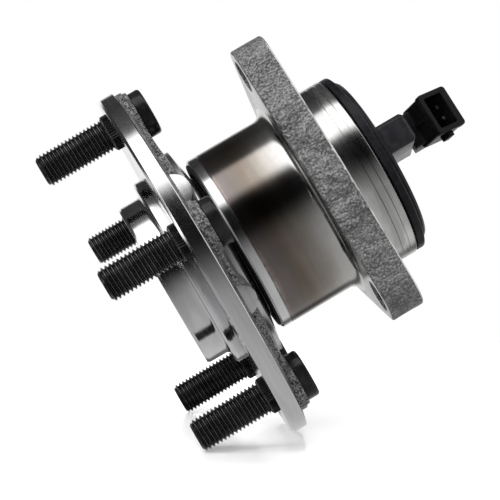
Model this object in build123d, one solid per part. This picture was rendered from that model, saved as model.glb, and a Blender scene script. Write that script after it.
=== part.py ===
"""Wheel hub bearing for a non-driven axle, with a built-in wheel speed sensor.

All sizes are in millimetres. Z is the spin axis. Z = 0 is the face that the brake
rotor and the wheel are clamped to, the wheel studs point to -Z, and the sensor and
its connector are at +Z. X points to the straight side of the mounting plate that
the connector leans towards.
"""
from build123d import *
from math import acos, cos, radians, sin, sqrt, tan
import os

# Wheel studs
stud_count = 5
stud_circle_d = 114.3
stud_thread_d = 12.0
stud_reach = 29.7
stud_tip_chamfer = 1.3
knurl_step = 1.1
stud_knurl_d = stud_thread_d + 2 * knurl_step
stud_knurl_reach = 3.2
head_step = 1.7
stud_head_d = stud_knurl_d + 2 * head_step
stud_head_t = 4.6
stud_head_round = 1.1

# Hub flange, seen from the wheel side to the vehicle side
wheel_pilot_d = 64.1
wheel_pilot_reach = 13.3
pilot_chamfer = 1.4
pilot_step = 5.15
rotor_pilot_d = wheel_pilot_d + 2 * pilot_step
rotor_pilot_reach = 4.2
pilot_step_round = 1.6
pilot_wall = 7.05
recess_d = wheel_pilot_d - 2 * pilot_wall
recess_depth = 19.5
recess_draft = 1.0
recess_round = 3.5
recess_dimple_margin = 16.5
recess_dimple_d = recess_d - 2 * recess_dimple_margin
recess_dimple_depth = 7.0
recess_dimple_round = 2.0
disc_margin = 11.85
disc_d = stud_circle_d + 2 * disc_margin
disc_t = 6.0
disc_chamfer = 0.7
disc_back_rise = 1.3
disc_back_w = 5.5
disc_back_d = disc_d - 2 * disc_back_w
cast_margin = 3.35
cast_d = stud_circle_d + 2 * cast_margin
cast_t = 3.2
cast_round = 4.5
lobe_margin = 1.8
lobe_d = stud_head_d + 2 * lobe_margin
pad_rim = 0.5
pad_t = 1.0
cast_chamfer = 0.7
cast_root_inset = 2.1
cast_w = 14.0
cone_base_d = cast_d - 2 * cast_w
cone_foot_w = 5.5
cone_knee_d = cone_base_d - 2 * cone_foot_w
cone_knee_rise = 3.2
cone_rise = 5.8
cone_round = 2.5

# Rotor locating screw holes in the hub flange
screw_angles = (27.0, 171.0)
screw_shift = 1.35
screw_circle_d = stud_circle_d + 2 * screw_shift
screw_hole_d = 6.8
screw_boss_wall = 2.9
screw_boss_d = screw_hole_d + 2 * screw_boss_wall
screw_boss_t = 1.4
screw_boss_round = 2.4

# Bearing rows
ball_d = 11.112
ball_count = 12
pitch_d = 50.0
race_gap = 0.06
row_inset = 12.1
row_spacing = 28.5
inner_land_depth = 2.4
inner_land_d = pitch_d - 2 * inner_land_depth
inner_low_depth = 4.6
inner_low_d = pitch_d - 2 * inner_low_depth
outer_land_rise = 2.8
outer_land_d = pitch_d + 2 * outer_land_rise
outer_low_rise = 5.3
outer_low_d = pitch_d + 2 * outer_low_rise
hub_face_w = 4.7
hub_face_d = inner_land_d + 2 * hub_face_w

# Balls' cages
cage_gap = 0.4
cage_outer_gap = 0.6
cage_reach = 5.6
cage_prong = 1.5
pocket_gap = 0.15

# Spindle and the separate inner ring
inner_ring_wall = 3.9
spindle_d = inner_low_d - 2 * inner_ring_wall
inner_ring_front = 15.0
inner_ring_back = 9.0
ring_chamfer = 0.8
collar_step = 4.3
collar_d = spindle_d + 2 * collar_step
collar_t = 3.4
collar_round = 2.0
collar_wall = 7.0
collar_recess_d = spindle_d - 2 * collar_wall
collar_recess_depth = 12.0
collar_recess_round = 1.5

# Outer ring
face_gap = 1.4
body_wall = 4.35
body_d = outer_low_d + 2 * body_wall
body_chamfer = 0.6
front_band = 3.6
band_groove_w = 0.6
band_groove_t = 0.35
seal_bore_step = 0.7
seal_bore_d = outer_low_d + 2 * seal_bore_step
seal_bore_depth = 5.9
grease_groove_t = 0.9
grease_groove_d = outer_land_d + 2 * grease_groove_t
grease_groove_w = 11.0
grease_groove_slope = 1.0
plate_setback = 32.1
plate_t = 12.4
plate_root_round = 4.0
plate_step = 4.65
plate_body_d = body_d + 2 * plate_step
plate_overlap = 2.0
plate_edge_chamfer = 0.6
ear_count = 3
ear_first_angle = 60.0
ear_r = 9.8
bolt_margin = 13.1
bolt_circle_d = plate_body_d + 2 * bolt_margin
bolt_hole_d = 10.7
bolt_hole_chamfer = 0.7
spigot_step = 0.85
spigot_d = body_d + 2 * spigot_step
spigot_reach = 11.9
spigot_chamfer = 1.0
spigot_groove_places = (5.3, 8.3)
spigot_groove_w = 0.5
spigot_groove_t = 0.3
cap_bore_step = 1.7
cap_bore_d = outer_low_d + 2 * cap_bore_step
cap_bore_depth = 8.4

# Press and push fits between pieces that do not move on each other
fit_gap = 0.02
# Smallest running clearance where a turning piece passes a standing one
run_gap = 0.35
# Share of the shorter side that the rounding of a turned corner may take up
corner_share = 0.45

# Front seal
seal_case_t = 0.8
seal_case_l = 4.6
seal_web_w = 4.2
seal_web_in_d = seal_bore_d - 2 * seal_web_w
seal_lip_t = 1.7
seal_flap_w = 2.3
seal_flap_d = seal_bore_d + 2 * seal_flap_w
seal_flap_t = 1.0
seal_flap_edge_t = 0.6
seal_flap_root_t = 0.9
axial_lip_t = 0.6
axial_lip_lean = 0.4
axial_lip_root = 1.6
radial_lip_t = 0.6
slinger_t = 0.6
slinger_sleeve_l = 5.0
slinger_margin = 2.5
slinger_flange_d = seal_bore_d - 2 * slinger_margin

# Encoder on the inner ring
encoder_sleeve_l = 2.9
encoder_t = 0.6
encoder_margin = 0.7
encoder_flange_d = outer_low_d - 2 * encoder_margin
magnet_margin = 1.2
encoder_magnet_in_d = inner_land_d + 2 * magnet_margin
encoder_magnet_t = 1.0
air_gap = 0.7

# Rear cap
cap_rim_inset = 0.2
cap_rim_d = spigot_d - 2 * cap_rim_inset
cap_rim_t = 2.9
cap_rim_round = 0.7
cap_disc_inset = 2.6
cap_disc_d = cap_rim_d - 2 * cap_disc_inset
cap_disc_t = 2.2
cap_disc_bevel = 1.1
cap_wall = 2.7
cap_plug_reach = 3.4
cap_plug_wall = 3.5
cap_cavity_d = cap_bore_d - 2 * cap_plug_wall
cap_cavity_bevel = 1.5
cap_edge_round = 0.3
sleeve_t = 0.8
sleeve_l = 7.4
sleeve_lip = 0.8
oring_section = 1.4
oring_setback = 1.5

# Sensor holder: block behind the cap and probe through it
sensor_inset = 3.0
sensor_x = cap_bore_d / 2 - sensor_inset
holder_over = 1.0
holder_l = 26.0
holder_x = (sensor_x + holder_over - holder_l, sensor_x + holder_over)
holder_w = 11.0
holder_h = 10.9
holder_bevel = 1.3
probe_l = 7.5
probe_x = (sensor_x - probe_l, sensor_x)
probe_w = 8.0
probe_floor = 0.6
chip_inset = 0.8
chip_l = 3.0
chip_x = (sensor_x - chip_inset - chip_l, sensor_x - chip_inset)
chip_w = 5.2
chip_t = 1.8

# Connector shell, leaning outwards from the spin axis
shell_tilt = 30.0
shell_w = 15.2
shell_h = 12.4
shell_l = 12.0
shell_round = 1.3
shell_wall = 1.5
shell_key_wall = 2.6
shell_floor = 1.6
shell_lip_l = 2.4
shell_lip_t = 0.35
shell_inset = 6.1
shell_centre_x = sensor_x - shell_inset
shell_centre_rise = 13.6
shell_foot_inset = 10.5
shell_foot_l = 10.5
shell_foot_x = (sensor_x - shell_foot_inset - shell_foot_l, sensor_x - shell_foot_inset)
shell_foot_w = 12.8
shell_foot_h = 9.0
latch_w = 5.0
latch_l = 3.0
latch_t = 1.2
latch_nose_t = 0.3
key_w = 2.8
key_l = 4.4
key_t = 1.9
key_setback = 2.6
rib_w = 1.2
rib_l = 5.5
rib_t = 0.7

# Terminals in the connector
terminal_d = 1.6
terminal_pitch = 4.7
terminal_offset = 1.6
terminal_recess = 3.2
terminal_tip = 0.4
lead_w = 1.2
lead_t = 0.5
lead_rise = 5.0
lead_cross_inset = 12.5
lead_cross_x = sensor_x - lead_cross_inset
lead_root_inset = 16.4
lead_root_x = sensor_x - lead_root_inset
lead_step = 3.0

# Directions along Z
wheel_side = -1
vehicle_side = 1

# Places along Z, each worked out from the sizes above
recess_floor = recess_depth - wheel_pilot_reach
disc_back = disc_t
cast_back = disc_back + cast_t
pad_back = cast_back + pad_t
hub_face = cast_back + cone_rise
ring_front = hub_face + face_gap
front_row = ring_front + row_inset
rear_row = front_row + row_spacing
plate_front = ring_front + plate_setback
plate_back = plate_front + plate_t
ring_back = plate_back + spigot_reach
ring_seat = rear_row - inner_ring_front
ring_end = rear_row + inner_ring_back
encoder_face = ring_end + encoder_t
magnet_face = encoder_face + encoder_magnet_t
cap_seat = ring_back
cap_rim_back = cap_seat + cap_rim_t
cap_back = cap_rim_back + cap_disc_t
holder_back = cap_back + holder_h
probe_tip = magnet_face + air_gap
groove_r = ball_d / 2 + race_gap
seal_floor = ring_front + seal_bore_depth


def turned(outline):
    """Turn a closed outline of (radius, height, corner rounding) points about Z."""
    points = [Vector(r, 0, z) for r, z, _ in outline]
    spans = []
    for i, here in enumerate(points):
        before = points[i - 1] - here
        after = points[(i + 1) % len(points)] - here
        rounding = outline[i][2]
        if rounding == 0:
            spans.append((here, None, here))
            continue
        half = acos(before.normalized().dot(after.normalized())) / 2
        room = corner_share * min(before.length, after.length)
        reach = min(rounding / tan(half), room)
        radius = reach * tan(half)
        middle = (before.normalized() + after.normalized()).normalized()
        apex = here + middle * (radius / sin(half) - radius)
        spans.append((here + before.normalized() * reach, apex, here + after.normalized() * reach))
    edges = []
    for i, (start, apex, end) in enumerate(spans):
        if apex is not None:
            edges.append(ThreePointArc(start, apex, end))
        edges.append(Line(end, spans[(i + 1) % len(spans)][0]))
    return revolve(make_face(Wire(edges)), Axis.Z)


def rod(diameter, low, high):
    """Plain cylinder on the spin axis between two heights."""
    return Pos(0, 0, low) * Cylinder(
        diameter / 2, high - low, align=(Align.CENTER, Align.CENTER, Align.MIN)
    )


def ring(outer_d, inner_d, low, high):
    """Plain ring on the spin axis between two heights."""
    return rod(outer_d, low, high) - rod(inner_d, low, high)


def block(x_span, width, low, high):
    """Box centred on the XZ plane, given by its X span, its width in Y and two heights."""
    middle = Pos((x_span[0] + x_span[1]) / 2, 0, (low + high) / 2)
    return middle * Box(x_span[1] - x_span[0], width, high - low)


def polar(radius, angle):
    """Location at a radius and an angle about the spin axis."""
    return Pos(radius * cos(radians(angle)), radius * sin(radians(angle)), 0)


def groove(row):
    """Ball track of one row, as the ring-shaped space that its balls run in."""
    return Pos(0, 0, row) * Torus(pitch_d / 2, groove_r)


def stud_angles():
    """Angles of the wheel studs about the spin axis."""
    return [i * 360 / stud_count for i in range(stud_count)]


def hub_core():
    """Turned form of the hub: pilots, disc, cone, front inner race and spindle."""
    track_front = front_row - sqrt(groove_r**2 - (pitch_d / 2 - inner_land_d / 2) ** 2)
    return turned([
        (0, recess_floor + recess_dimple_depth, 0),
        (recess_dimple_d / 4, recess_floor + recess_dimple_depth, recess_dimple_round),
        (recess_dimple_d / 2, recess_floor, recess_dimple_round),
        (recess_d / 2 - recess_draft, recess_floor, recess_round),
        (recess_d / 2, -wheel_pilot_reach + pilot_chamfer, 0),
        (recess_d / 2 + pilot_chamfer, -wheel_pilot_reach, 0),
        (wheel_pilot_d / 2 - pilot_chamfer, -wheel_pilot_reach, 0),
        (wheel_pilot_d / 2, -wheel_pilot_reach + 2 * pilot_chamfer, 0),
        (wheel_pilot_d / 2, -rotor_pilot_reach, pilot_step_round),
        (rotor_pilot_d / 2 - pilot_chamfer / 2, -rotor_pilot_reach, 0),
        (rotor_pilot_d / 2, -rotor_pilot_reach + pilot_chamfer / 2, 0),
        (rotor_pilot_d / 2, 0, 0),
        (disc_d / 2 - disc_chamfer, 0, 0),
        (disc_d / 2, disc_chamfer, 0),
        (disc_d / 2, disc_back - disc_chamfer, 0),
        (disc_d / 2 - disc_chamfer, disc_back, 0),
        (disc_back_d / 2, disc_back + disc_back_rise, 0),
        (cast_d / 2 - cast_root_inset, disc_back + disc_back_rise, 0),
        (cast_d / 2 - cast_root_inset - cast_chamfer, cast_back, 0),
        (cone_base_d / 2, cast_back, cone_round),
        (cone_knee_d / 2, cast_back + cone_knee_rise, cone_round),
        (hub_face_d / 2, hub_face, 0),
        (inner_land_d / 2, hub_face, 0),
        (inner_land_d / 2, track_front, 0),
        (inner_low_d / 2, front_row, 0),
        (inner_low_d / 2, ring_seat - ring_chamfer, 0),
        (inner_low_d / 2 - ring_chamfer, ring_seat, 0),
        (spindle_d / 2, ring_seat, 0),
        (spindle_d / 2, ring_end, 0),
        (collar_d / 2, ring_end, 0),
        (collar_d / 2, ring_end + collar_t, collar_round),
        (collar_recess_d / 2, ring_end + collar_t, collar_recess_round),
        (collar_recess_d / 2, ring_end + collar_t - collar_recess_depth, 0),
        (0, ring_end + collar_t - collar_recess_depth - collar_recess_d / 4, 0),
    ])


def cast_back_plate():
    """Forged back of the flange: scalloped outline with a raised pad under each stud head."""
    outline = Circle(cast_d / 2)
    for angle in stud_angles():
        outline += polar(stud_circle_d / 2, angle) * Circle(lobe_d / 2)
    outline = fillet(outline.vertices(), cast_round)
    plate = Pos(0, 0, disc_back / 2) * extrude(outline, cast_back - disc_back / 2)
    plate -= rod(cone_base_d, 0, hub_face)
    top = plate.faces().sort_by(Axis.Z)[-1]
    return chamfer(top.outer_wire().edges(), cast_chamfer)


def stud_pad(angle):
    """Raised round pad that a stud head seats on."""
    low = disc_back / 2
    pad = rod(stud_head_d + 4 * pad_rim, low, pad_back)
    pad = chamfer(pad.edges().sort_by(Axis.Z)[-1], pad_rim)
    return polar(stud_circle_d / 2, angle) * pad


def screw_boss(angle):
    """Round boss on the back of the flange for a rotor locating screw."""
    low = disc_back / 2
    boss = rod(screw_boss_d, low, cast_back + screw_boss_t)
    boss = fillet(boss.edges().sort_by(Axis.Z)[-1], screw_boss_round)
    return polar(screw_circle_d / 2, angle) * boss


def hub_flange():
    """Hub forging with the wheel flange, both pilots and the spindle in one piece."""
    hub = hub_core() + cast_back_plate()
    for angle in stud_angles():
        hub += stud_pad(angle)
    for angle in screw_angles:
        hub += screw_boss(angle)
    hub -= groove(front_row)
    for angle in stud_angles():
        hub -= polar(stud_circle_d / 2, angle) * rod(stud_knurl_d + 2 * fit_gap, -disc_t, hub_face)
    for angle in screw_angles:
        hub -= polar(screw_circle_d / 2, angle) * rod(screw_hole_d, -disc_t, hub_face)
    return hub


def wheel_stud(angle):
    """Press-in wheel stud: thread, knurled shank and round head."""
    stud = turned([
        (0, -stud_reach, 0),
        (stud_thread_d / 2 - stud_tip_chamfer, -stud_reach, 0),
        (stud_thread_d / 2, -stud_reach + stud_tip_chamfer, 0),
        (stud_thread_d / 2, -stud_knurl_reach - (stud_knurl_d - stud_thread_d), 0),
        (stud_knurl_d / 2, -stud_knurl_reach, 0),
        (stud_knurl_d / 2, pad_back, 0),
        (stud_head_d / 2, pad_back, 0),
        (stud_head_d / 2, pad_back + stud_head_t, stud_head_round),
        (0, pad_back + stud_head_t, 0),
    ])
    return polar(stud_circle_d / 2, angle) * stud


def race_ring():
    """Separate rear inner ring, held on the spindle by the rolled collar."""
    track_back = rear_row + sqrt(groove_r**2 - (pitch_d / 2 - inner_land_d / 2) ** 2)
    body = turned([
        (spindle_d / 2 + fit_gap, ring_seat + ring_chamfer, 0),
        (spindle_d / 2 + fit_gap + ring_chamfer, ring_seat, 0),
        (inner_low_d / 2, ring_seat, ring_chamfer),
        (inner_low_d / 2, rear_row, 0),
        (inner_land_d / 2, track_back, 0),
        (inner_land_d / 2, ring_end, 0),
        (spindle_d / 2 + fit_gap, ring_end, 0),
    ])
    return body - groove(rear_row)


def mounting_plate():
    """Three-eared plate, as the hull of a round body and the ears."""
    rounds = [Circle(plate_body_d / 2)]
    for i in range(ear_count):
        rounds.append(polar(bolt_circle_d / 2, ear_first_angle + i * 360 / ear_count) * Circle(ear_r))
    outline = make_hull([edge for item in rounds for edge in item.edges()])
    plate = Pos(0, 0, plate_front) * extrude(outline, plate_t)
    rims = plate.faces().sort_by(Axis.Z)
    return chamfer(rims[0].edges() + rims[-1].edges(), plate_edge_chamfer)


def ear_hole(angle):
    """Tapped hole in one ear, at its core size, with a chamfer at both mouths."""
    hole = rod(bolt_hole_d, plate_front - bolt_hole_chamfer, plate_back + bolt_hole_chamfer)
    mouth = Cone(
        bolt_hole_d / 2 + bolt_hole_chamfer,
        bolt_hole_d / 2,
        bolt_hole_chamfer,
        align=(Align.CENTER, Align.CENTER, Align.MIN),
    )
    hole += Pos(0, 0, plate_front) * mouth
    hole += Pos(0, 0, plate_back) * Rot(180, 0, 0) * mouth
    return polar(bolt_circle_d / 2, angle) * hole


def outer_ring():
    """Outer ring of the bearing with its mounting plate and rear spigot."""
    land_reach = sqrt(groove_r**2 - (pitch_d / 2 - outer_land_d / 2) ** 2)
    low_reach = sqrt(groove_r**2 - (outer_low_d / 2 - pitch_d / 2) ** 2)
    middle = (front_row + rear_row) / 2
    band_back = ring_front + front_band
    cap_floor = ring_back - cap_bore_depth
    outline = [
        (seal_bore_d / 2, ring_front + body_chamfer, 0),
        (seal_bore_d / 2 + body_chamfer, ring_front, 0),
        (body_d / 2 - body_chamfer, ring_front, 0),
        (body_d / 2, ring_front + body_chamfer, 0),
        (body_d / 2, band_back, 0),
        (body_d / 2 - band_groove_t, band_back + band_groove_w / 2, 0),
        (body_d / 2, band_back + band_groove_w, 0),
        (body_d / 2, plate_front, plate_root_round),
        (plate_body_d / 2 - plate_edge_chamfer, plate_front, 0),
        (plate_body_d / 2 - plate_edge_chamfer, plate_back, 0),
        (spigot_d / 2, plate_back, 0),
    ]
    for place in spigot_groove_places:
        low = plate_back + place
        outline += [
            (spigot_d / 2, low, 0),
            (spigot_d / 2 - spigot_groove_t, low + spigot_groove_w / 2, 0),
            (spigot_d / 2, low + spigot_groove_w, 0),
        ]
    outline += [
        (spigot_d / 2, ring_back - spigot_chamfer, 0),
        (spigot_d / 2 - spigot_chamfer, ring_back, 0),
        (cap_bore_d / 2, ring_back, 0),
        (cap_bore_d / 2, cap_floor, 0),
        (outer_low_d / 2, cap_floor, 0),
        (outer_low_d / 2, rear_row + low_reach, 0),
        (outer_low_d / 2, rear_row, 0),
        (outer_land_d / 2, rear_row - land_reach, 0),
        (outer_land_d / 2, middle + grease_groove_w / 2, 0),
        (grease_groove_d / 2, middle + grease_groove_w / 2 - grease_groove_slope, 0),
        (grease_groove_d / 2, middle - grease_groove_w / 2 + grease_groove_slope, 0),
        (outer_land_d / 2, middle - grease_groove_w / 2, 0),
        (outer_land_d / 2, front_row + land_reach, 0),
        (outer_low_d / 2, front_row, 0),
        (outer_low_d / 2, seal_floor, 0),
        (seal_bore_d / 2, seal_floor, 0),
    ]
    plate_core = rod(plate_body_d - 2 * plate_overlap, ring_front, ring_back)
    body = turned(outline) + (mounting_plate() - plate_core)
    body -= groove(front_row) + groove(rear_row)
    for i in range(ear_count):
        body -= ear_hole(ear_first_angle + i * 360 / ear_count)
    return body


def ball_place(row, index):
    """Centre of one ball of a row."""
    return polar(pitch_d / 2, index * 360 / ball_count) * Pos(0, 0, row)


def ball_set(row):
    """The balls of one row, as separate solids."""
    return [ball_place(row, i) * Sphere(ball_d / 2) for i in range(ball_count)]


def ball_cage(row, side):
    """Snap cage of one row: a rim on the side of the high inner shoulder, with ball pockets."""
    inner_d = inner_land_d + 2 * cage_gap
    ends = sorted([row + side * cage_reach, row - side * cage_prong])
    cage = ring(outer_land_d - 2 * cage_outer_gap, inner_d, ends[0], ends[1])
    for i in range(ball_count):
        cage -= ball_place(row, i) * Sphere(ball_d / 2 + pocket_gap)
    return cage


def seal_case():
    """Pressed steel case of the front seal."""
    outer = seal_bore_d / 2 - fit_gap
    end = seal_floor - fit_gap
    return turned([
        (outer, end - seal_case_l, 0),
        (outer, end, seal_case_t),
        (seal_web_in_d / 2, end, 0),
        (seal_web_in_d / 2, end - seal_case_t, 0),
        (outer - seal_case_t, end - seal_case_t, 0),
        (outer - seal_case_t, end - seal_case_l, 0),
    ])


def seal_lip():
    """Rubber of the front seal: body, radial lip, axial lip and outer flap."""
    back = seal_floor - fit_gap - seal_case_t
    front = back - seal_lip_t
    outer = seal_bore_d / 2 - fit_gap - seal_case_t
    web = seal_web_in_d / 2
    axial_tip = hub_face + fit_gap + slinger_t + run_gap
    radial_tip = slinger_inner() + slinger_t + run_gap
    body = turned([
        (outer, back, 0),
        (outer, front, 0),
        (web + axial_lip_root, front, 0),
        (web + axial_lip_lean + axial_lip_t, axial_tip, 0),
        (web + axial_lip_lean, axial_tip, 0),
        (web, front, 0),
        (radial_tip + radial_lip_t, front - radial_lip_t, 0),
        (radial_tip, front, 0),
        (web, back, 0),
    ])
    flap_front = ring_front - seal_flap_t
    flap_end = ring_front - fit_gap
    flap = turned([
        (outer, back, 0),
        (outer, flap_end, 0),
        (seal_flap_d / 2, flap_end, 0),
        (seal_flap_d / 2, flap_end - seal_flap_edge_t, 0),
        (outer - seal_flap_root_t, flap_front, 0),
        (outer - seal_flap_root_t, back, 0),
    ])
    return body + flap


def slinger_inner():
    """Bore radius of the slinger, on the hub's land."""
    return inner_land_d / 2 + fit_gap


def seal_slinger():
    """Stainless ring on the hub that the seal lips run against."""
    inner = slinger_inner()
    low = hub_face + fit_gap
    return turned([
        (inner, low, 0),
        (slinger_flange_d / 2, low, 0),
        (slinger_flange_d / 2, low + slinger_t, 0),
        (inner + slinger_t, low + slinger_t, 0),
        (inner + slinger_t, low + slinger_sleeve_l, 0),
        (inner, low + slinger_sleeve_l, 0),
    ])


def encoder_carrier():
    """Pressed steel carrier of the encoder, on the inner ring's rear land."""
    inner = inner_land_d / 2 + fit_gap
    return turned([
        (inner, encoder_face - encoder_sleeve_l, 0),
        (inner + encoder_t, encoder_face - encoder_sleeve_l, 0),
        (inner + encoder_t, encoder_face - encoder_t, 0),
        (encoder_flange_d / 2, encoder_face - encoder_t, 0),
        (encoder_flange_d / 2, encoder_face, 0),
        (inner, encoder_face, 0),
    ])


def encoder_magnet():
    """Magnetised rubber ring that the sensor reads."""
    return ring(encoder_flange_d, encoder_magnet_in_d, encoder_face, magnet_face)


def probe_body():
    """Probe that reaches from the sensor holder to the encoder."""
    return block(probe_x, probe_w, probe_tip, cap_back)


def oring_place():
    """Height of the O-ring's centre."""
    return cap_seat - oring_setback


def rear_cap():
    """Moulded cap that closes the rear of the bearing."""
    plug_d = cap_bore_d - 2 * fit_gap - 2 * sleeve_t
    cap = turned([
        (0, cap_back - cap_wall, 0),
        (cap_cavity_d / 2 - cap_cavity_bevel, cap_back - cap_wall, 0),
        (cap_cavity_d / 2, cap_back - cap_wall - cap_cavity_bevel, 0),
        (cap_cavity_d / 2, cap_seat - cap_plug_reach, 0),
        (plug_d / 2, cap_seat - cap_plug_reach, 0),
        (plug_d / 2, cap_seat, 0),
        (cap_rim_d / 2, cap_seat, cap_edge_round),
        (cap_rim_d / 2, cap_rim_back, cap_rim_round),
        (cap_disc_d / 2, cap_rim_back, cap_edge_round),
        (cap_disc_d / 2, cap_rim_back + cap_disc_t - cap_disc_bevel, 0),
        (cap_disc_d / 2 - cap_disc_bevel, cap_back, 0),
        (0, cap_back, 0),
    ])
    low = oring_place() - oring_section / 2
    cap -= ring(cap_bore_d, plug_d - 2 * oring_section, low, low + oring_section)
    return cap - probe_body()


def cap_sleeve():
    """Pressed steel sleeve that holds the cap in the outer ring."""
    outer = cap_bore_d / 2 - fit_gap
    low = cap_seat - sleeve_l
    return turned([
        (outer, low, 0),
        (outer, cap_seat - fit_gap, 0),
        (outer - sleeve_t, cap_seat - fit_gap, 0),
        (outer - sleeve_t, low + sleeve_t, 0),
        (outer - sleeve_t - sleeve_lip, low + sleeve_t, 0),
        (outer - sleeve_t - sleeve_lip, low, 0),
    ])


def cap_oring():
    """O-ring in the groove of the cap's plug."""
    bore = cap_bore_d / 2 - fit_gap - sleeve_t
    section = oring_section / 2 - fit_gap
    return Pos(0, 0, oring_place()) * Torus(bore - fit_gap - section, section)


def lead_path(side):
    """Flat lead of one terminal, from the sensor chip to the root of its pin."""
    low = probe_tip + probe_floor + chip_t
    first = holder_back - lead_rise
    second = holder_back + lead_step
    root = terminal_root()
    chip = sum(chip_x) / 2
    width = lead_w
    lead = block((chip - lead_t / 2, chip + lead_t / 2), width, low, first)
    lead += block((lead_cross_x, chip + lead_t / 2), width, first - lead_t, first)
    lead += block((lead_cross_x, lead_cross_x + lead_t), width, first - lead_t, second)
    lead += block((lead_root_x, lead_cross_x + lead_t), width, second - lead_t, second)
    lead += block((lead_root_x, lead_root_x + lead_t), width, second - lead_t, root.Z)
    return Pos(0, side * terminal_pitch / 2, 0) * lead


def mouth_plane():
    """Plane of the connector's mouth, with Y as its first direction."""
    tilt = radians(shell_tilt)
    centre = (shell_centre_x, 0, holder_back + shell_centre_rise)
    return Plane(origin=centre, x_dir=(0, 1, 0), z_dir=(cos(tilt), 0, sin(tilt)))


def cavity_offset():
    """Shift of the socket towards the wall with no key."""
    return (shell_key_wall - shell_wall) / 2


def terminal_root():
    """Point on the terminals' plane where their leads meet the pins."""
    length = shell_l - shell_floor / 2
    return (mouth_plane() * Pos(0, cavity_offset() + terminal_offset, -length)).position


def terminal(side):
    """Round pin in the socket with its flat lead, as one stamped and formed piece."""
    length = shell_l - terminal_recess
    pin = Cylinder(terminal_d / 2, length, align=(Align.CENTER, Align.CENTER, Align.MIN))
    pin = chamfer(pin.edges().sort_by(Axis.Z)[-1], terminal_tip)
    place = Pos(side * terminal_pitch / 2, cavity_offset() + terminal_offset, -shell_l)
    return mouth_plane() * place * pin + lead_path(side)


def latch_ramp():
    """Ramp on the shell that the plug's latch snaps over, rising away from the mouth."""
    points = [(-latch_l, -latch_t), (-latch_l, latch_t), (0, latch_nose_t), (0, -latch_t)]
    side = Polygon(*points, align=None)
    return Rot(0, 90, 0) * Rot(0, 0, 90) * extrude(side, latch_w / 2, both=True)


def connector_shell():
    """Moulded connector housing with its socket, foot, latch ramp and keys."""
    plane = mouth_plane()
    outline = RectangleRounded(shell_w, shell_h, shell_round)
    lip = RectangleRounded(shell_w + 2 * shell_lip_t, shell_h + 2 * shell_lip_t, shell_round)
    shell = plane * extrude(outline, -shell_l)
    shell += plane * extrude(lip, -shell_lip_l)
    shell += block(shell_foot_x, shell_foot_w, holder_back, holder_back + shell_foot_h)
    shell += plane * Pos(0, shell_h / 2, -latch_l) * latch_ramp()
    shell += plane * Pos(shell_w / 2, 0, -key_setback - key_l / 2) * Box(2 * key_t, key_w, key_l)
    shell += plane * Pos(0, -shell_h / 2, rib_l - shell_l) * Box(rib_w, 2 * rib_t, rib_l)
    socket = RectangleRounded(
        shell_w - 2 * shell_wall, shell_h - shell_wall - shell_key_wall, shell_round / 2
    )
    shell -= plane * Pos(0, cavity_offset(), 0) * extrude(socket, -(shell_l - shell_floor))
    return shell - terminal(1) - terminal(-1)


def sensor_holder():
    """Moulded block that carries the connector, with the probe that reaches the encoder."""
    body = block(holder_x, holder_w, cap_back, holder_back)
    corners = body.edges().filter_by(Axis.Z) + body.faces().sort_by(Axis.Z)[-1].edges()
    body = chamfer(corners, holder_bevel)
    body += probe_body()
    chip_low = probe_tip + probe_floor
    body -= block(chip_x, chip_w, chip_low, chip_low + chip_t)
    return body - lead_path(1) - lead_path(-1)


def sensor_chip():
    """Sensing element in the tip of the probe."""
    chip_low = probe_tip + probe_floor
    return block(chip_x, chip_w, chip_low, chip_low + chip_t)


def export(name, shape):
    """Write one sub-part, or a group of equal ones, to its own file."""
    whole = Compound(children=shape) if isinstance(shape, list) else shape
    export_step(whole, os.path.join("parts", name + ".step"))


os.makedirs("parts", exist_ok=True)
export("hub_flange", hub_flange())
for number, angle in enumerate(stud_angles(), start=1):
    export(f"wheel_stud_{number}", wheel_stud(angle))
export("seal_slinger", seal_slinger())
export("inner_ring", race_ring())
export("encoder_carrier", encoder_carrier())
export("encoder_magnet", encoder_magnet())
export("outer_ring", outer_ring())
export("front_balls", ball_set(front_row))
export("front_cage", ball_cage(front_row, wheel_side))
export("rear_balls", ball_set(rear_row))
export("rear_cage", ball_cage(rear_row, vehicle_side))
export("front_seal_case", seal_case())
export("front_seal_lip", seal_lip())
export("rear_cap", rear_cap())
export("cap_sleeve", cap_sleeve())
export("cap_oring", cap_oring())
export("sensor_holder", sensor_holder())
export("sensor_chip", sensor_chip())
export("terminal_1", terminal(1))
export("terminal_2", terminal(-1))
export("connector_shell", connector_shell())
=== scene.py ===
"""Visual model of the wheel hub bearing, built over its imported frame.

The shapes are turned, extruded and drilled in edit mode, each finish is a small class that
builds its own node tree, and the studio class sets the floor, the surround, the lamps and the
camera. Sizes are in millimetres until they reach Blender, which works in metres.
"""
import logging
import math
from dataclasses import dataclass
from enum import Enum
from typing import Callable, Sequence

import bmesh
import bpy
from mathutils import Matrix, Vector


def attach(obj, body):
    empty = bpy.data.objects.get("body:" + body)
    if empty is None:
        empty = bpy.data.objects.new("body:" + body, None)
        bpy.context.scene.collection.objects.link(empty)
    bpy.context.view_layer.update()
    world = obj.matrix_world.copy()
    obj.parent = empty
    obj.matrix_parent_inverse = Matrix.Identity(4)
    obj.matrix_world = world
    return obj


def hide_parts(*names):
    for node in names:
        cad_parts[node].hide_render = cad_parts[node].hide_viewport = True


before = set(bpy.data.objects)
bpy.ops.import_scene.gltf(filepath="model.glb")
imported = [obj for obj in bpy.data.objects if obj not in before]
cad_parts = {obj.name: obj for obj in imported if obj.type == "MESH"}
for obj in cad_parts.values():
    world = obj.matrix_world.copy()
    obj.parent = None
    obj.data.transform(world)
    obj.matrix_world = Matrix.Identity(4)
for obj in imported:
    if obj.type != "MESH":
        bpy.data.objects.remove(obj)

LOG = logging.getLogger("hub_bearing")
MM = 0.001
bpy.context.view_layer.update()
WELD = 1e-6
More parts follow.
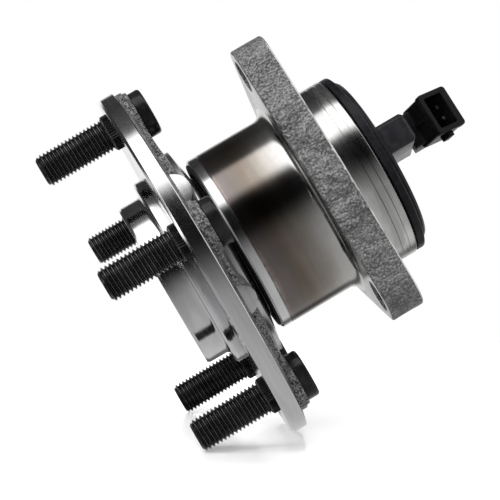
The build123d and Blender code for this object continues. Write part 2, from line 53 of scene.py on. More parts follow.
CENTRE = Vector((0, 0, 0))

# Sizes that several sub-assemblies share, in millimetres and degrees
DISC_R = 69.0
STUDS = 5
STUD_STEP = 360.0 / STUDS
STUD_CIRCLE_R = 57.15
PAD_BACK = 10.2
BALL_CIRCLE_R = 25.0
TRACK_R = 5.616
FRONT_ROW_Z = 28.5
REAR_ROW_Z = 57.0


class Body(Enum):
    """Rigid bodies that carry new pieces."""

    OUTER = "outer"
    HUB = "hub"


class Slot(Enum):
    """Material slots of the record, passed along with the new pieces."""

    HUB = "hub_steel"
    STUD = "stud_black"
    RING = "ring_steel"
    SEAL = "seal_rubber"
    CAP = "cap_plastic"
    HOLDER = "holder_plastic"
    SOCKET = "connector_plastic"


@dataclass(frozen=True)
class Corner:
    """Corner of a turned outline: radius, height and rounding, in millimetres."""

    r: float
    z: float
    rounding: float = 0.0


# Modelling


def ray_between(first: Vector, second: Vector, share: float) -> Vector:
    """Unit vector part of the way from one direction to another."""
    return (first * (1 - share) + second * share).normalized()


def rounded(outline: Sequence[Corner], segments: int = 4) -> list[tuple[float, float]]:
    """Replace the rounded corners of an outline by points on their arcs.

    Args:
        outline: corners in order; the outline is taken as closed.
        segments: spans per arc.

    Returns:
        Points as (radius, height) in millimetres.
    """
    points: list[tuple[float, float]] = []
    for index, here in enumerate(outline):
        centre = Vector((here.r, here.z))
        if here.rounding == 0:
            points.append((here.r, here.z))
            continue
        last, following = outline[index - 1], outline[(index + 1) % len(outline)]
        before = Vector((last.r, last.z)) - centre
        after = Vector((following.r, following.z)) - centre
        half = before.angle(after) / 2
        room = min(
            before.length * (0.48 if last.rounding else 0.98),
            after.length * (0.48 if following.rounding else 0.98),
        )
        reach = min(here.rounding / math.tan(half), room)
        start = centre + before.normalized() * reach
        end = centre + after.normalized() * reach
        bulge = (before.normalized() + after.normalized()).normalized()
        middle = centre + bulge * (reach / math.cos(half))
        radius = reach * math.tan(half)
        first, final = start - middle, end - middle
        for step in range(segments + 1):
            points.append(tuple(middle + ray_between(first, final, step / segments) * radius))
    return points


def track_arc(row_z: float, r_from: float, r_to: float, outer: bool) -> list[Corner]:
    """Ball track of one row as corners along its arc.

    Args:
        row_z: height of the row's balls.
        r_from: radius at which the arc starts.
        r_to: radius at which it ends.
        outer: True for the outer ring's track.

    Returns:
        Corners from the start to the end of the arc.
    """
    spans = 8
    sign = 1.0 if outer else -1.0

    def angle_at(radius: float) -> float:
        """Angle on the track where it has that radius from the spin axis."""
        return math.acos(min(1.0, abs(radius - BALL_CIRCLE_R) / TRACK_R))

    start, end = -angle_at(r_from), angle_at(r_to)
    corners = []
    for step in range(spans + 1):
        turn = start + (end - start) * step / spans
        radius = BALL_CIRCLE_R + sign * TRACK_R * math.cos(turn)
        corners.append(Corner(radius, row_z + TRACK_R * math.sin(turn)))
    return corners


EdgeTest = Callable[[bmesh.types.BMEdge], bool]


def every_edge(edge: bmesh.types.BMEdge) -> bool:
    """True for every edge."""
    return True


def upright(edge: bmesh.types.BMEdge) -> bool:
    """True for an edge that climbs along Z."""
    return abs(edge.verts[0].co.z - edge.verts[1].co.z) > WELD


def level(edge: bmesh.types.BMEdge) -> bool:
    """True for an edge whose ends are at one height."""
    return not upright(edge)


def level_at(*heights: float) -> EdgeTest:
    """Make a test for the edges at given heights.

    Args:
        heights: heights in millimetres.

    Returns:
        Test that is true where both ends of an edge are at one of the heights.
    """
    def wanted(edge: bmesh.types.BMEdge) -> bool:
        """True where both ends are at one of the heights."""
        return any(all(abs(vert.co.z - height * MM) < WELD for vert in edge.verts) for height in heights)

    return wanted


class Bench:
    """Edit-mode operations that the sub-assemblies share."""

    @staticmethod
    def clear() -> None:
        """Leave edit mode and deselect everything."""
        if bpy.context.mode != "OBJECT":
            bpy.ops.object.mode_set(mode="OBJECT")
        bpy.ops.object.select_all(action="DESELECT")

    @staticmethod
    def pick(obj: bpy.types.Object) -> None:
        """Select one object alone and make it active.

        Args:
            obj: object to select.
        """
        Bench.clear()
        obj.select_set(True)
        bpy.context.view_layer.objects.active = obj

    @staticmethod
    def edit(obj: bpy.types.Object, action: str = "SELECT") -> None:
        """Enter edit mode on one object with all or none of it selected.

        Args:
            obj: object to edit.
            action: SELECT for all of it, DESELECT for none.
        """
        Bench.pick(obj)
        bpy.ops.object.mode_set(mode="EDIT")
        bpy.ops.mesh.select_all(action=action)

    @staticmethod
    def fresh(name: str) -> bpy.types.Object:
        """Name the primitive that was just added, and its mesh.

        Args:
            name: name of both.

        Returns:
            The primitive.
        """
        obj = bpy.context.active_object
        obj.name = name
        obj.data.name = name
        return obj

    @staticmethod
    def chain(name: str, points: Sequence[Vector], closed: bool) -> bpy.types.Object:
        """Draw a chain of edges, extruding one vertex from point to point.

        Args:
            name: name of the new object.
            points: places in millimetres.
            closed: True to join the last point to the first.

        Returns:
            The new object, left in edit mode.
        """
        Bench.clear()
        bpy.ops.mesh.primitive_plane_add(size=MM)
        obj = Bench.fresh(name)
        bpy.ops.object.mode_set(mode="EDIT")
        bpy.ops.mesh.select_all(action="SELECT")
        bpy.ops.mesh.merge(type="CENTER")
        bpy.ops.transform.translate(value=points[0] * MM)
        for before, after in zip(points, points[1:]):
            step = (after - before) * MM
            bpy.ops.mesh.extrude_region_move(TRANSFORM_OT_translate={"value": step})
        if closed:
            Bench.select_by_index(obj, {0, len(points) - 1})
            bpy.ops.mesh.edge_face_add()
        return obj

    @staticmethod
    def select_by_index(obj: bpy.types.Object, wanted: set[int]) -> None:
        """Select vertices by number in edit mode.

        Args:
            obj: object in edit mode.
            wanted: numbers of the vertices.
        """
        bpy.ops.mesh.select_all(action="DESELECT")
        mesh = bmesh.from_edit_mesh(obj.data)
        mesh.verts.ensure_lookup_table()
        for index in wanted:
            mesh.verts[index].select = True
        bmesh.update_edit_mesh(obj.data)

    @staticmethod
    def tidy(obj: bpy.types.Object) -> None:
        """Weld doubles, turn the faces outwards and leave edit mode.

        Args:
            obj: object in edit mode.
        """
        bpy.ops.mesh.select_all(action="SELECT")
        bpy.ops.mesh.remove_doubles(threshold=WELD)
        bpy.ops.mesh.normals_make_consistent(inside=False)
        bpy.ops.object.mode_set(mode="OBJECT")

    @staticmethod
    def turn(name: str, outline: Sequence[Corner], steps: int = 192, arcs: int = 4) -> bpy.types.Object:
        """Spin an outline round the spin axis.

        Args:
            name: name of the new object.
            outline: corners in order.
            steps: spans round the axis.
            arcs: spans per rounded corner.

        Returns:
            A closed solid of revolution.
        """
        flat = rounded(outline, arcs)
        open_ends = flat[0][0] == 0 and flat[-1][0] == 0
        obj = Bench.chain(name, [Vector((r, 0, z)) for r, z in flat], closed=not open_ends)
        bpy.ops.mesh.select_all(action="SELECT")
        bpy.ops.mesh.spin(steps=steps, angle=math.tau, center=(0, 0, 0), axis=(0, 0, 1))
        Bench.tidy(obj)
        return obj

    @staticmethod
    def slab(name: str, outline: Sequence[tuple[float, float]], low: float, high: float) -> bpy.types.Object:
        """Extrude a flat outline along Z.

        Args:
            name: name of the new object.
            outline: (x, y) points of a closed outline, in millimetres.
            low: height of its lower face.
            high: height of its upper face.

        Returns:
            A closed prism.
        """
        obj = Bench.chain(name, [Vector((x, y, low)) for x, y in outline], closed=True)
        bpy.ops.mesh.select_all(action="SELECT")
        bpy.ops.mesh.edge_face_add()
        lift = {"value": (0, 0, (high - low) * MM)}
        bpy.ops.mesh.extrude_region_move(TRANSFORM_OT_translate=lift)
        Bench.tidy(obj)
        return obj

    @staticmethod
    def post(
        name: str, place: Vector, radius: float, low: float, high: float, sides: int = 64
    ) -> bpy.types.Object:
        """Upright cylinder at a place, as the start of a pad, boss or cutter.

        Args:
            name: name of the new object.
            place: centre in the XY plane, in millimetres.
            radius: radius in millimetres.
            low: height of its foot.
            high: height of its top.
            sides: spans round it.

        Returns:
            The cylinder.
        """
        Bench.clear()
        middle = Vector((place.x, place.y, (low + high) / 2)) * MM
        bpy.ops.mesh.primitive_cylinder_add(
            vertices=sides, radius=radius * MM, depth=(high - low) * MM, location=middle
        )
        obj = Bench.fresh(name)
        Bench.settle(obj)
        return obj

    @staticmethod
    def brick(name: str, low: Vector, high: Vector) -> bpy.types.Object:
        """Box between two corners, as the start of a moulded form.

        Args:
            name: name of the new object.
            low: corner with the lowest coordinates, in millimetres.
            high: corner with the highest coordinates.

        Returns:
            The box.
        """
        Bench.clear()
        bpy.ops.mesh.primitive_cube_add(size=1, location=(low + high) / 2 * MM)
        obj = Bench.fresh(name)
        obj.scale = (high - low) * MM
        Bench.settle(obj)
        return obj

    @staticmethod
    def settle(obj: bpy.types.Object) -> None:
        """Put an object's place into its mesh."""
        Bench.pick(obj)
        bpy.ops.object.transform_apply(location=True, rotation=True, scale=True)

    @staticmethod
    def pick_edges(obj: bpy.types.Object, wanted: EdgeTest) -> None:
        """Enter edit mode with the edges selected that a test picks.

        Args:
            obj: object to work on.
            wanted: test of one edge.
        """
        Bench.edit(obj, "DESELECT")
        bpy.ops.mesh.select_mode(type="EDGE")
        mesh = bmesh.from_edit_mesh(obj.data)
        for edge in mesh.edges:
            edge.select = wanted(edge)
        bmesh.update_edit_mesh(obj.data)

    @staticmethod
    def leave() -> None:
        """Go back to selecting vertices and leave edit mode."""
        bpy.ops.mesh.select_mode(type="VERT")
        bpy.ops.object.mode_set(mode="OBJECT")

    @staticmethod
    def bevel(obj: bpy.types.Object, width: float, spans: int, wanted: EdgeTest = every_edge) -> None:
        """Bevel the edges that a test picks.

        Args:
            obj: object to work on.
            width: bevel width in millimetres.
            spans: segments of the bevel.
            wanted: test of one edge.
        """
        Bench.pick_edges(obj, wanted)
        bpy.ops.mesh.bevel(offset=width * MM, segments=spans, affect="EDGES")
        Bench.leave()

    @staticmethod
    def combine(target: bpy.types.Object, tools: Sequence[bpy.types.Object], operation: str) -> None:
        """Apply boolean modifiers to an object, then remove the tools.

        Args:
            target: object that is kept.
            tools: objects that are added, cut away or intersected.
            operation: UNION, DIFFERENCE or INTERSECT.
        """
        for tool in tools:
            Bench.pick(target)
            modifier = target.modifiers.new(operation.lower(), "BOOLEAN")
            modifier.operation = operation
            modifier.solver = "EXACT"
            modifier.object = tool
            bpy.ops.object.modifier_apply(modifier=modifier.name)
            bpy.data.objects.remove(tool)

    @staticmethod
    def join(target: bpy.types.Object, others: Sequence[bpy.types.Object]) -> None:
        """Join objects into one mesh.

        Args:
            target: object that is kept.
            others: objects that go into it.
        """
        Bench.clear()
        for other in others:
            other.select_set(True)
        target.select_set(True)
        bpy.context.view_layer.objects.active = target
        bpy.ops.object.join()

    @staticmethod
    def twin(obj: bpy.types.Object, name: str, turn: float) -> bpy.types.Object:
        """Copy an object with its own mesh, turned about the spin axis.

        Args:
            obj: object to copy.
            name: name of the copy and of its mesh.
            turn: angle in degrees.

        Returns:
            The copy.
        """
        copy = obj.copy()
        copy.data = obj.data.copy()
        copy.name = name
        copy.data.name = name
        bpy.context.scene.collection.objects.link(copy)
        copy.data.transform(Matrix.Rotation(math.radians(turn), 4, "Z"))
        return copy

    @staticmethod
    def smooth(obj: bpy.types.Object, angle: float = 32.0) -> None:
        """Smooth the shading below an angle in degrees."""
        Bench.pick(obj)
        bpy.ops.object.shade_smooth_by_angle(angle=math.radians(angle))


def polar(radius: float, angle: float) -> Vector:
    """Place in the XY plane from a radius and an angle in degrees."""
    turn = math.radians(angle)
    return Vector((radius * math.cos(turn), radius * math.sin(turn), 0))


def stretch(start: Vector, end: Vector) -> list[Vector]:
    """Points about a millimetre apart between two places, without the places themselves."""
    count = max(1, round((end - start).length))
    return [start.lerp(end, k / count) for k in range(1, count)]


def dress(
    obj: bpy.types.Object,
    finishes: Sequence[bpy.types.Material],
    chooser: Callable[[bpy.types.MeshPolygon, Vector], int] | None = None,
) -> None:
    """Give an object its materials, face by face.

    Args:
        obj: object to dress.
        finishes: materials in slot order.
        chooser: returns a face's slot from the face and its centre in millimetres.
    """
    obj.data.materials.clear()
    for finish in finishes:
        obj.data.materials.append(finish)
    for face in obj.data.polygons:
        face.material_index = chooser(face, face.center / MM) if chooser else 0


def place_piece(obj: bpy.types.Object, body: Body, slot: Slot, nodes: Sequence[str]) -> None:
    """Hand a finished piece over to the frame and report it.

    Args:
        obj: finished piece.
        body: body that it moves with.
        slot: record slot that its finish belongs to; not used.
        nodes: CAD nodes that it stands for.
    """
    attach(obj, body.value)
    if nodes:
        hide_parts(*nodes)
    LOG.info("%s: %d faces on %s", obj.name, len(obj.data.polygons), body.value)


# Finishes


class Tree:
    """Short calls for building a node tree."""

    def __init__(self, tree: bpy.types.NodeTree) -> None:
        """Start on an empty node tree."""
        self.tree = tree
        self.tree.nodes.clear()

    def add(self, kind: str, **settings: object) -> bpy.types.Node:
        """Add a node and set its properties.

        Args:
            kind: type of the node.
            settings: its properties by name.

        Returns:
            The node.
        """
        node = self.tree.nodes.new(kind)
        for key, value in settings.items():
            setattr(node, key, value)
        return node

    def feed(self, value: object, socket: bpy.types.NodeSocket) -> None:
        """Link an output to a socket, or set the socket to a constant.

        Args:
            value: output or constant.
            socket: input that takes it.
        """
        if isinstance(value, bpy.types.NodeSocket):
            self.tree.links.new(value, socket)
        else:
            socket.default_value = value

    def math(
        self, operation: str, first: object, second: object = 0.0, third: object = 0.0
    ) -> bpy.types.NodeSocket:
        """Add a math node.

        Args:
            operation: the node's operation.
            first: socket or number.
            second: socket or number.
            third: socket or number, where the operation takes three.

        Returns:
            The node's output.
        """
        node = self.add("ShaderNodeMath", operation=operation)
        for value, socket in zip((first, second, third), node.inputs):
            self.feed(value, socket)
        return node.outputs[0]

    def spread(
        self, value: object, low: float, high: float, new_low: float = 0.0, new_high: float = 1.0
    ) -> bpy.types.NodeSocket:
        """Map a range onto another, smoothly and clamped.

        Args:
            value: socket to map.
            low: start of its range.
            high: end of its range.
            new_low: value at the start.
            new_high: value at the end.

        Returns:
            The mapped value.
        """
        node = self.add("ShaderNodeMapRange", interpolation_type="SMOOTHSTEP")
        self.feed(value, node.inputs["Value"])
        for key, number in (
            ("From Min", low), ("From Max", high), ("To Min", new_low), ("To Max", new_high),
        ):
            node.inputs[key].default_value = number
        return node.outputs["Result"]

    def mix(self, share: object, first: object, second: object, blend: str = "MIX") -> bpy.types.NodeSocket:
        """Mix two colours.

        Args:
            share: share of the second colour.
            first: socket or colour.
            second: socket or colour.
            blend: the node's way of mixing.

        Returns:
            The mixed colour.
        """
        node = self.add("ShaderNodeMix", data_type="RGBA", blend_type=blend)
        self.feed(share, node.inputs["Factor"])
        self.feed(first, node.inputs["A"])
        self.feed(second, node.inputs["B"])
        return node.outputs["Result"]

    def noise(self, vector: object, scale: object, detail: float, **more: object) -> bpy.types.NodeSocket:
        """Add a noise texture.

        Args:
            vector: place in the noise.
            scale: cells per metre.
            detail: number of finer layers.
            more: dimensions of the noise, and other inputs by name.

        Returns:
            The noise's value.
        """
        node = self.add("ShaderNodeTexNoise")
        node.noise_dimensions = more.pop("noise_dimensions", "3D")
        for key, value in {"Vector": vector, "Scale": scale, "Detail": detail, **more}.items():
            self.feed(value, node.inputs[key])
        return node.outputs[0]

    def axes(self, vector: bpy.types.NodeSocket) -> tuple[bpy.types.NodeSocket, ...]:
        """X, Y and Z of a vector.

        Args:
            vector: vector to take apart.

        Returns:
            The three sockets.
        """
        parts = self.add("ShaderNodeSeparateXYZ")
        self.feed(vector, parts.inputs[0])
        return tuple(parts.outputs)

    def reach(self, x: bpy.types.NodeSocket, y: bpy.types.NodeSocket) -> bpy.types.NodeSocket:
        """Distance from the spin axis."""
        return self.math("SQRT", self.math("ADD", self.math("MULTIPLY", x, x), self.math("MULTIPLY", y, y)))

    def squash(
        self, vector: bpy.types.NodeSocket, factors: tuple[float, float, float]
    ) -> bpy.types.NodeSocket:
        """Vector with each axis multiplied by its own factor.

        Args:
            vector: vector to scale.
            factors: factor of each axis.

        Returns:
            The scaled vector.
        """
        node = self.add("ShaderNodeVectorMath", operation="MULTIPLY")
        self.feed(vector, node.inputs[0])
        node.inputs[1].default_value = factors
        return node.outputs[0]

    def ramp(
        self, share: bpy.types.NodeSocket, stops: Sequence[tuple[float, Sequence[float]]]
    ) -> bpy.types.NodeSocket:
        """Add a colour ramp.

        Args:
            share: place on the ramp, from 0 to 1.
            stops: place and colour of each stop, in order.

        Returns:
            The ramp's colour.
        """
        node = self.add("ShaderNodeValToRGB")
        self.feed(share, node.inputs[0])
        elements = node.color_ramp.elements
        while len(elements) < len(stops):
            elements.new(0.5)
        for element, (place, colour) in zip(elements, stops):
            element.position = place
            element.color = colour
        return node.outputs["Color"]

    def layer(self, share: object, below: object, above: object) -> bpy.types.NodeSocket:
        """Mix two shaders.

        Args:
            share: share of the upper shader.
            below: lower shader.
            above: upper shader.

        Returns:
            The mixed shader.
        """
        node = self.add("ShaderNodeMixShader")
        for value, socket in zip((share, below, above), node.inputs):
            self.feed(value, socket)
        return node.outputs[0]

    def glow(self, colour: object, strength: float = 1.0) -> bpy.types.NodeSocket:
        """Shader that gives off light.

        Args:
            colour: socket or colour.
            strength: strength of the light.

        Returns:
            The shader.
        """
        node = self.add("ShaderNodeEmission")
        self.feed(colour, node.inputs["Color"])
        node.inputs["Strength"].default_value = strength
        return node.outputs[0]

    def clear_behind(self, front: bpy.types.NodeSocket) -> bpy.types.NodeSocket:
        """Shader that is seen from the front only."""
        behind = self.add("ShaderNodeNewGeometry").outputs["Backfacing"]
        return self.layer(behind, front, self.add("ShaderNodeBsdfTransparent").outputs[0])

    def looked_at(self) -> bpy.types.NodeSocket:
        """One where the camera, a reflection or a clear body looks, zero for other light.

        Returns:
            The share of such rays.
        """
        path = self.add("ShaderNodeLightPath")
        seen = self.math("MAXIMUM", path.outputs["Is Camera Ray"], path.outputs["Is Glossy Ray"])
        return self.math("MAXIMUM", seen, path.outputs["Is Transmission Ray"])

    def surface(self, shader: bpy.types.NodeSocket, kind: str = "ShaderNodeOutputMaterial") -> None:
        """Feed a shader into the tree's output."""
        self.feed(shader, self.add(kind).inputs["Surface"])

    def place(self) -> bpy.types.NodeSocket:
        """Object coordinates, in metres."""
        return self.add("ShaderNodeTexCoord").outputs["Object"]


def grey(level: float) -> tuple[float, float, float, float]:
    """Neutral colour of a linear level."""
    return (level, level, level, 1.0)


def tint(base: Sequence[float], factor: float = 1.0) -> tuple[float, ...]:
    """Colour of three linear levels, each times a factor."""
    return (*(share * factor for share in base), 1.0)


def blank_material(name: str) -> tuple[bpy.types.Material, Tree]:
    """New material and its empty node tree.

    Args:
        name: name of the material.

    Returns:
        The material and its tree.
    """
    material = bpy.data.materials.new(name)
    material.use_nodes = True
    return material, Tree(material.node_tree)


class Effect:
    """Node group that several finishes share."""

    def __init__(self, name: str, inputs: Sequence[str], outputs: Sequence[str]) -> None:
        """Create the group with float inputs and outputs.

        Args:
            name: name of the group.
            inputs: input names.
            outputs: output names.
        """
        self.group = bpy.data.node_groups.new(name, "ShaderNodeTree")
        for side, keys in (("INPUT", inputs), ("OUTPUT", outputs)):
            for key in keys:
                self.group.interface.new_socket(name=key, in_out=side, socket_type="NodeSocketFloat")
        self.nodes = Tree(self.group)
        self.entry = self.nodes.add("NodeGroupInput")
        self.exit = self.nodes.add("NodeGroupOutput")

    def use(self, tree: Tree, **values: object) -> bpy.types.Node:
        """Place the group in a material.

        Args:
            tree: the material's tree.
            values: socket or number for each input of the group.

        Returns:
            The group's node.
        """
        node = tree.add("ShaderNodeGroup", node_tree=self.group)
        for key, value in values.items():
            tree.feed(value, node.inputs[key])
        return node


class Effects:
    """The shared effects, each built once."""

    def __init__(self) -> None:
        """Build every group."""
        self.turning = self.build_turning()
        self.forging = self.build_forging()
        self.moulding = self.build_moulding()
        self.smudge = self.build_smudge()

    @staticmethod
    def build_turning() -> Effect:
        """Lathe marks that follow the spin axis: fine grooves and longer streaks.

        Returns:
            The group.
        """
        least_radius, streak_share = 0.0001, 0.14
        effect = Effect("turning_marks", ["Lines", "Drift"], ["Groove", "Streak"])
        n = effect.nodes
        x, y, z = n.axes(n.place())
        radius = n.reach(x, y)
        safe = n.math("MAXIMUM", radius, least_radius)
        drift = effect.entry.outputs["Drift"]
        lines = effect.entry.outputs["Lines"]
        around = n.add("ShaderNodeCombineXYZ")
        n.feed(n.math("MULTIPLY", n.math("DIVIDE", x, safe), drift), around.inputs[0])
        n.feed(n.math("MULTIPLY", n.math("DIVIDE", y, safe), drift), around.inputs[1])
        n.feed(n.math("MULTIPLY", radius, lines), around.inputs[2])
        along = n.math("MULTIPLY", z, lines)
        groove = n.noise(around.outputs[0], 1.0, 3.0, noise_dimensions="4D", W=along)
        wide = n.squash(around.outputs[0], (1.0, 1.0, streak_share))
        slow = n.math("MULTIPLY", along, streak_share)
        streak = n.noise(wide, 1.0, 4.0, noise_dimensions="4D", W=slow)
        n.feed(groove, effect.exit.inputs["Groove"])
        n.feed(streak, effect.exit.inputs["Streak"])
        return effect

    @staticmethod
    def build_forging() -> Effect:
        """Rough forged skin: creased scale, shot-blasted pits and a mottled tone.

        Returns:
            The group.
        """
        warp_share, warp_depth = 0.45, 0.005
        scale_share, patch_share, pit_share = 2.4, 0.3, 5.8
        lump_height, scale_height, pit_height = 2.6, 1.1, 0.6
        lump_tone, pit_tone = 0.4, 0.6
        effect = Effect("forged_skin", ["Scale", "Crease"], ["Height", "Tone"])
        n = effect.nodes
        place = n.place()
        scale = effect.entry.outputs["Scale"]
        warp = n.add("ShaderNodeTexNoise")
        n.feed(place, warp.inputs["Vector"])
        n.feed(n.math("MULTIPLY", scale, warp_share), warp.inputs["Scale"])
        push = n.add("ShaderNodeVectorMath", operation="SCALE")
        n.feed(warp.outputs["Color"], push.inputs[0])
        push.inputs["Scale"].default_value = warp_depth
        moved = n.add("ShaderNodeVectorMath", operation="ADD")
        n.feed(place, moved.inputs[0])
        n.feed(push.outputs[0], moved.inputs[1])
        lumps = n.noise(moved.outputs[0], scale, 1.5, Roughness=0.5, Distortion=0.6)
        fine = n.math("MULTIPLY", scale, scale_share)
        scales = n.noise(moved.outputs[0], fine, 1.0, Roughness=0.5, Distortion=0.3)
        patches = n.noise(place, n.math("MULTIPLY", scale, patch_share), 2.0)
        cover = n.spread(patches, 0.42, 0.6, 0.25, 1.0)
        cover = n.math("MULTIPLY", cover, effect.entry.outputs["Crease"])
        pits = n.noise(place, n.math("MULTIPLY", scale, pit_share), 0.5)
        height = n.math("MULTIPLY", n.math("MULTIPLY", lumps, cover), lump_height)
        height = n.math("ADD", height, n.math("MULTIPLY", n.math("MULTIPLY", scales, cover), scale_height))
        height = n.math("ADD", height, n.math("MULTIPLY", pits, pit_height))
        n.feed(height, effect.exit.inputs["Height"])
        tone = n.math("ADD", n.math("MULTIPLY", lumps, lump_tone), n.math("MULTIPLY", pits, pit_tone))
        n.feed(tone, effect.exit.inputs["Tone"])
        return effect

    @staticmethod
    def build_moulding() -> Effect:
        """Eroded grain of moulded plastic and rubber.

        Returns:
            The group.
        """
        soft_share, tone_share = 0.5, 0.08
        effect = Effect("moulded_grain", ["Scale"], ["Height", "Tone"])
        n = effect.nodes
        place = n.place()
        scale = effect.entry.outputs["Scale"]
        cells = n.add("ShaderNodeTexVoronoi", feature="SMOOTH_F1")
        n.feed(place, cells.inputs["Vector"])
        n.feed(scale, cells.inputs["Scale"])
        soft = n.noise(place, n.math("MULTIPLY", scale, soft_share), 3.0)
        n.feed(n.math("ADD", cells.outputs["Distance"], soft), effect.exit.inputs["Height"])
        mottle = n.noise(place, n.math("MULTIPLY", scale, tone_share), 5.0)
        n.feed(mottle, effect.exit.inputs["Tone"])
        return effect

    @staticmethod
    def build_smudge() -> Effect:
        """Faint handling marks, for the roughness.

        Returns:
            The group.
        """
        effect = Effect("handling_marks", ["Scale"], ["Mask"])
        n = effect.nodes
        cloud = n.noise(n.place(), effect.entry.outputs["Scale"], 5.0, Roughness=0.65, Distortion=0.6)
        n.feed(n.spread(cloud, 0.4, 0.68), effect.exit.inputs["Mask"])
        return effect


@dataclass(frozen=True)
class Tone:
    """Name of a finish; each kind of finish adds its values."""

    name: str


class Finish:
    """Base of the finishes: a material with one Principled BSDF."""

    def __init__(self, effects: Effects, tone: Tone) -> None:
        """Build the material.

        Args:
            effects: the shared node groups.
            tone: name and values of the finish.
        """
        self.effects = effects
        self.tone = tone
        self.material, self.nodes = blank_material(tone.name)
        self.shader = self.nodes.add("ShaderNodeBsdfPrincipled")
        self.nodes.surface(self.shader.outputs[0])
        self.build()

    def build(self) -> None:
        """Wire the finish; each finish has its own."""
        raise NotImplementedError

    def set(self, **values: object) -> None:
        """Feed sockets of the shader by name, with underscores for spaces."""
        for key, value in values.items():
            self.nodes.feed(value, self.shader.inputs[key.replace("_", " ")])

    def bump(self, height: bpy.types.NodeSocket, depth: float) -> None:
        """Feed a height into the shader's normal, with its depth in millimetres.

        Args:
            height: socket with the height.
            depth: depth that a height of one stands for.
        """
        node = self.nodes.add("ShaderNodeBump")
        node.inputs["Strength"].default_value = 1.0
        node.inputs["Distance"].default_value = depth * MM
        self.nodes.feed(height, node.inputs["Height"])
        self.set(Normal=node.outputs[0])


@dataclass(frozen=True)
class MetalTone(Tone):
    """Values of a turned metal finish.

    The depth of the grooves is in millimetres, and their lines are counted per metre.
    """

    base: tuple[float, float, float]
    streak: float
    rough: float
    rough_spread: float
    groove: float
    lines: float
    drift: float
    anisotropy: float


class TurnedMetal(Finish):
    """Metal turned on a lathe, with marks round the spin axis."""

    def colour(self, streak: bpy.types.NodeSocket) -> bpy.types.NodeSocket:
        """Base colour with light and dark streaks."""
        return self.streaked(streak, tint(self.tone.base, 1 - self.tone.streak), tint(self.tone.base))

    def streaked(self, streak: bpy.types.NodeSocket, dark: object, light: object) -> bpy.types.NodeSocket:
        """Dark and light colour, mixed by the streaks."""
        return self.nodes.mix(self.nodes.spread(streak, 0.35, 0.65), dark, light)

    def build(self) -> None:
        """Wire the lathe marks into colour, roughness and normal."""
        smudge_scale, smudge_share = 45.0, 0.4
        tone, n = self.tone, self.nodes
        marks = self.effects.turning.use(n, Lines=tone.lines, Drift=tone.drift)
        smudge = self.effects.smudge.use(n, Scale=smudge_scale)
        rough = n.math("MULTIPLY_ADD", marks.outputs["Streak"], tone.rough_spread, tone.rough)
        rough = n.math("MULTIPLY_ADD", smudge.outputs["Mask"], tone.rough_spread * smudge_share, rough)
        tangent = n.add("ShaderNodeTangent", direction_type="RADIAL", axis="Z")
        self.set(
            Base_Color=self.colour(marks.outputs["Streak"]),
            Metallic=1.0,
            Roughness=rough,
            Anisotropic=tone.anisotropy,
            Tangent=tangent.outputs[0],
        )
        self.bump(marks.outputs["Groove"], tone.groove)


class TintedMetal(TurnedMetal):
    """Turned metal with the heat tint that hardening leaves over the ball tracks."""

    front = 16.4
    back = 48.5
    ragged = 6.0
    bands = (
        (0.00, (0.60, 0.60, 0.59)),
        (0.09, (0.52, 0.52, 0.51)),
        (0.125, (0.27, 0.22, 0.20)),
        (0.17, (0.165, 0.145, 0.14)),
        (0.32, (0.15, 0.13, 0.115)),
        (0.44, (0.17, 0.14, 0.115)),
        (0.56, (0.215, 0.19, 0.165)),
        (0.70, (0.31, 0.29, 0.265)),
        (0.84, (0.42, 0.41, 0.395)),
        (1.00, (0.52, 0.52, 0.51)),
    )

    def colour(self, streak: bpy.types.NodeSocket) -> bpy.types.NodeSocket:
        """Base colour that changes from band to band along the ring, with ragged borders.

        Args:
            streak: the lathe marks' streaks.

        Returns:
            The colour.
        """
        n = self.nodes
        place = n.place()
        cloud = n.noise(n.squash(place, (1.0, 1.0, 0.6)), 60.0, 6.0, Roughness=0.7, Distortion=0.3)
        wander = n.math("MULTIPLY_ADD", cloud, self.ragged * MM, -self.ragged / 2 * MM)
        height = n.math("ADD", n.axes(place)[2], wander)
        shifted = n.math("SUBTRACT", height, self.front * MM)
        share = n.math("DIVIDE", shifted, (self.back - self.front) * MM)
        light = n.ramp(share, [(stop, tint(colour)) for stop, colour in self.bands])
        dark = n.mix(1.0, light, grey(1 - self.tone.streak), "MULTIPLY")
        return self.streaked(streak, dark, light)


@dataclass(frozen=True)
class ForgedTone(Tone):
    """Values of a forged finish.

    The creases fade between two distances from the spin axis, in millimetres.
    """

    level: float
    scale: float
    depth: float
    contrast: float
    crease_from: float
    crease_to: float


class ForgedMetal(Finish):
    """Forged skin, shot-blasted, creased close to the spin axis."""

    def build(self) -> None:
        """Wire the skin into colour, roughness and normal."""
        faded_crease = 0.12
        rough, rough_fall = 0.48, -0.12
        n, tone = self.nodes, self.tone
        x, y, _ = n.axes(n.place())
        crease = n.spread(n.reach(x, y), tone.crease_from * MM, tone.crease_to * MM, 1.0, faded_crease)
        skin = self.effects.forging.use(n, Scale=tone.scale, Crease=crease)
        share = n.spread(skin.outputs["Tone"], 0.36, 0.62)
        low, high = tone.level * (1 - tone.contrast), tone.level * (1 + tone.contrast)
        self.set(
            Base_Color=n.mix(share, grey(low), grey(high)),
            Metallic=0.55,
            Roughness=n.math("MULTIPLY_ADD", share, rough_fall, rough),
        )
        self.bump(skin.outputs["Height"], tone.depth)


@dataclass(frozen=True)
class MouldedTone(Tone):
    """Values of a moulded plastic or rubber finish."""

    base: tuple[float, float, float]
    rough: float
    grain: float
    depth: float
    gloss: float = 0.4


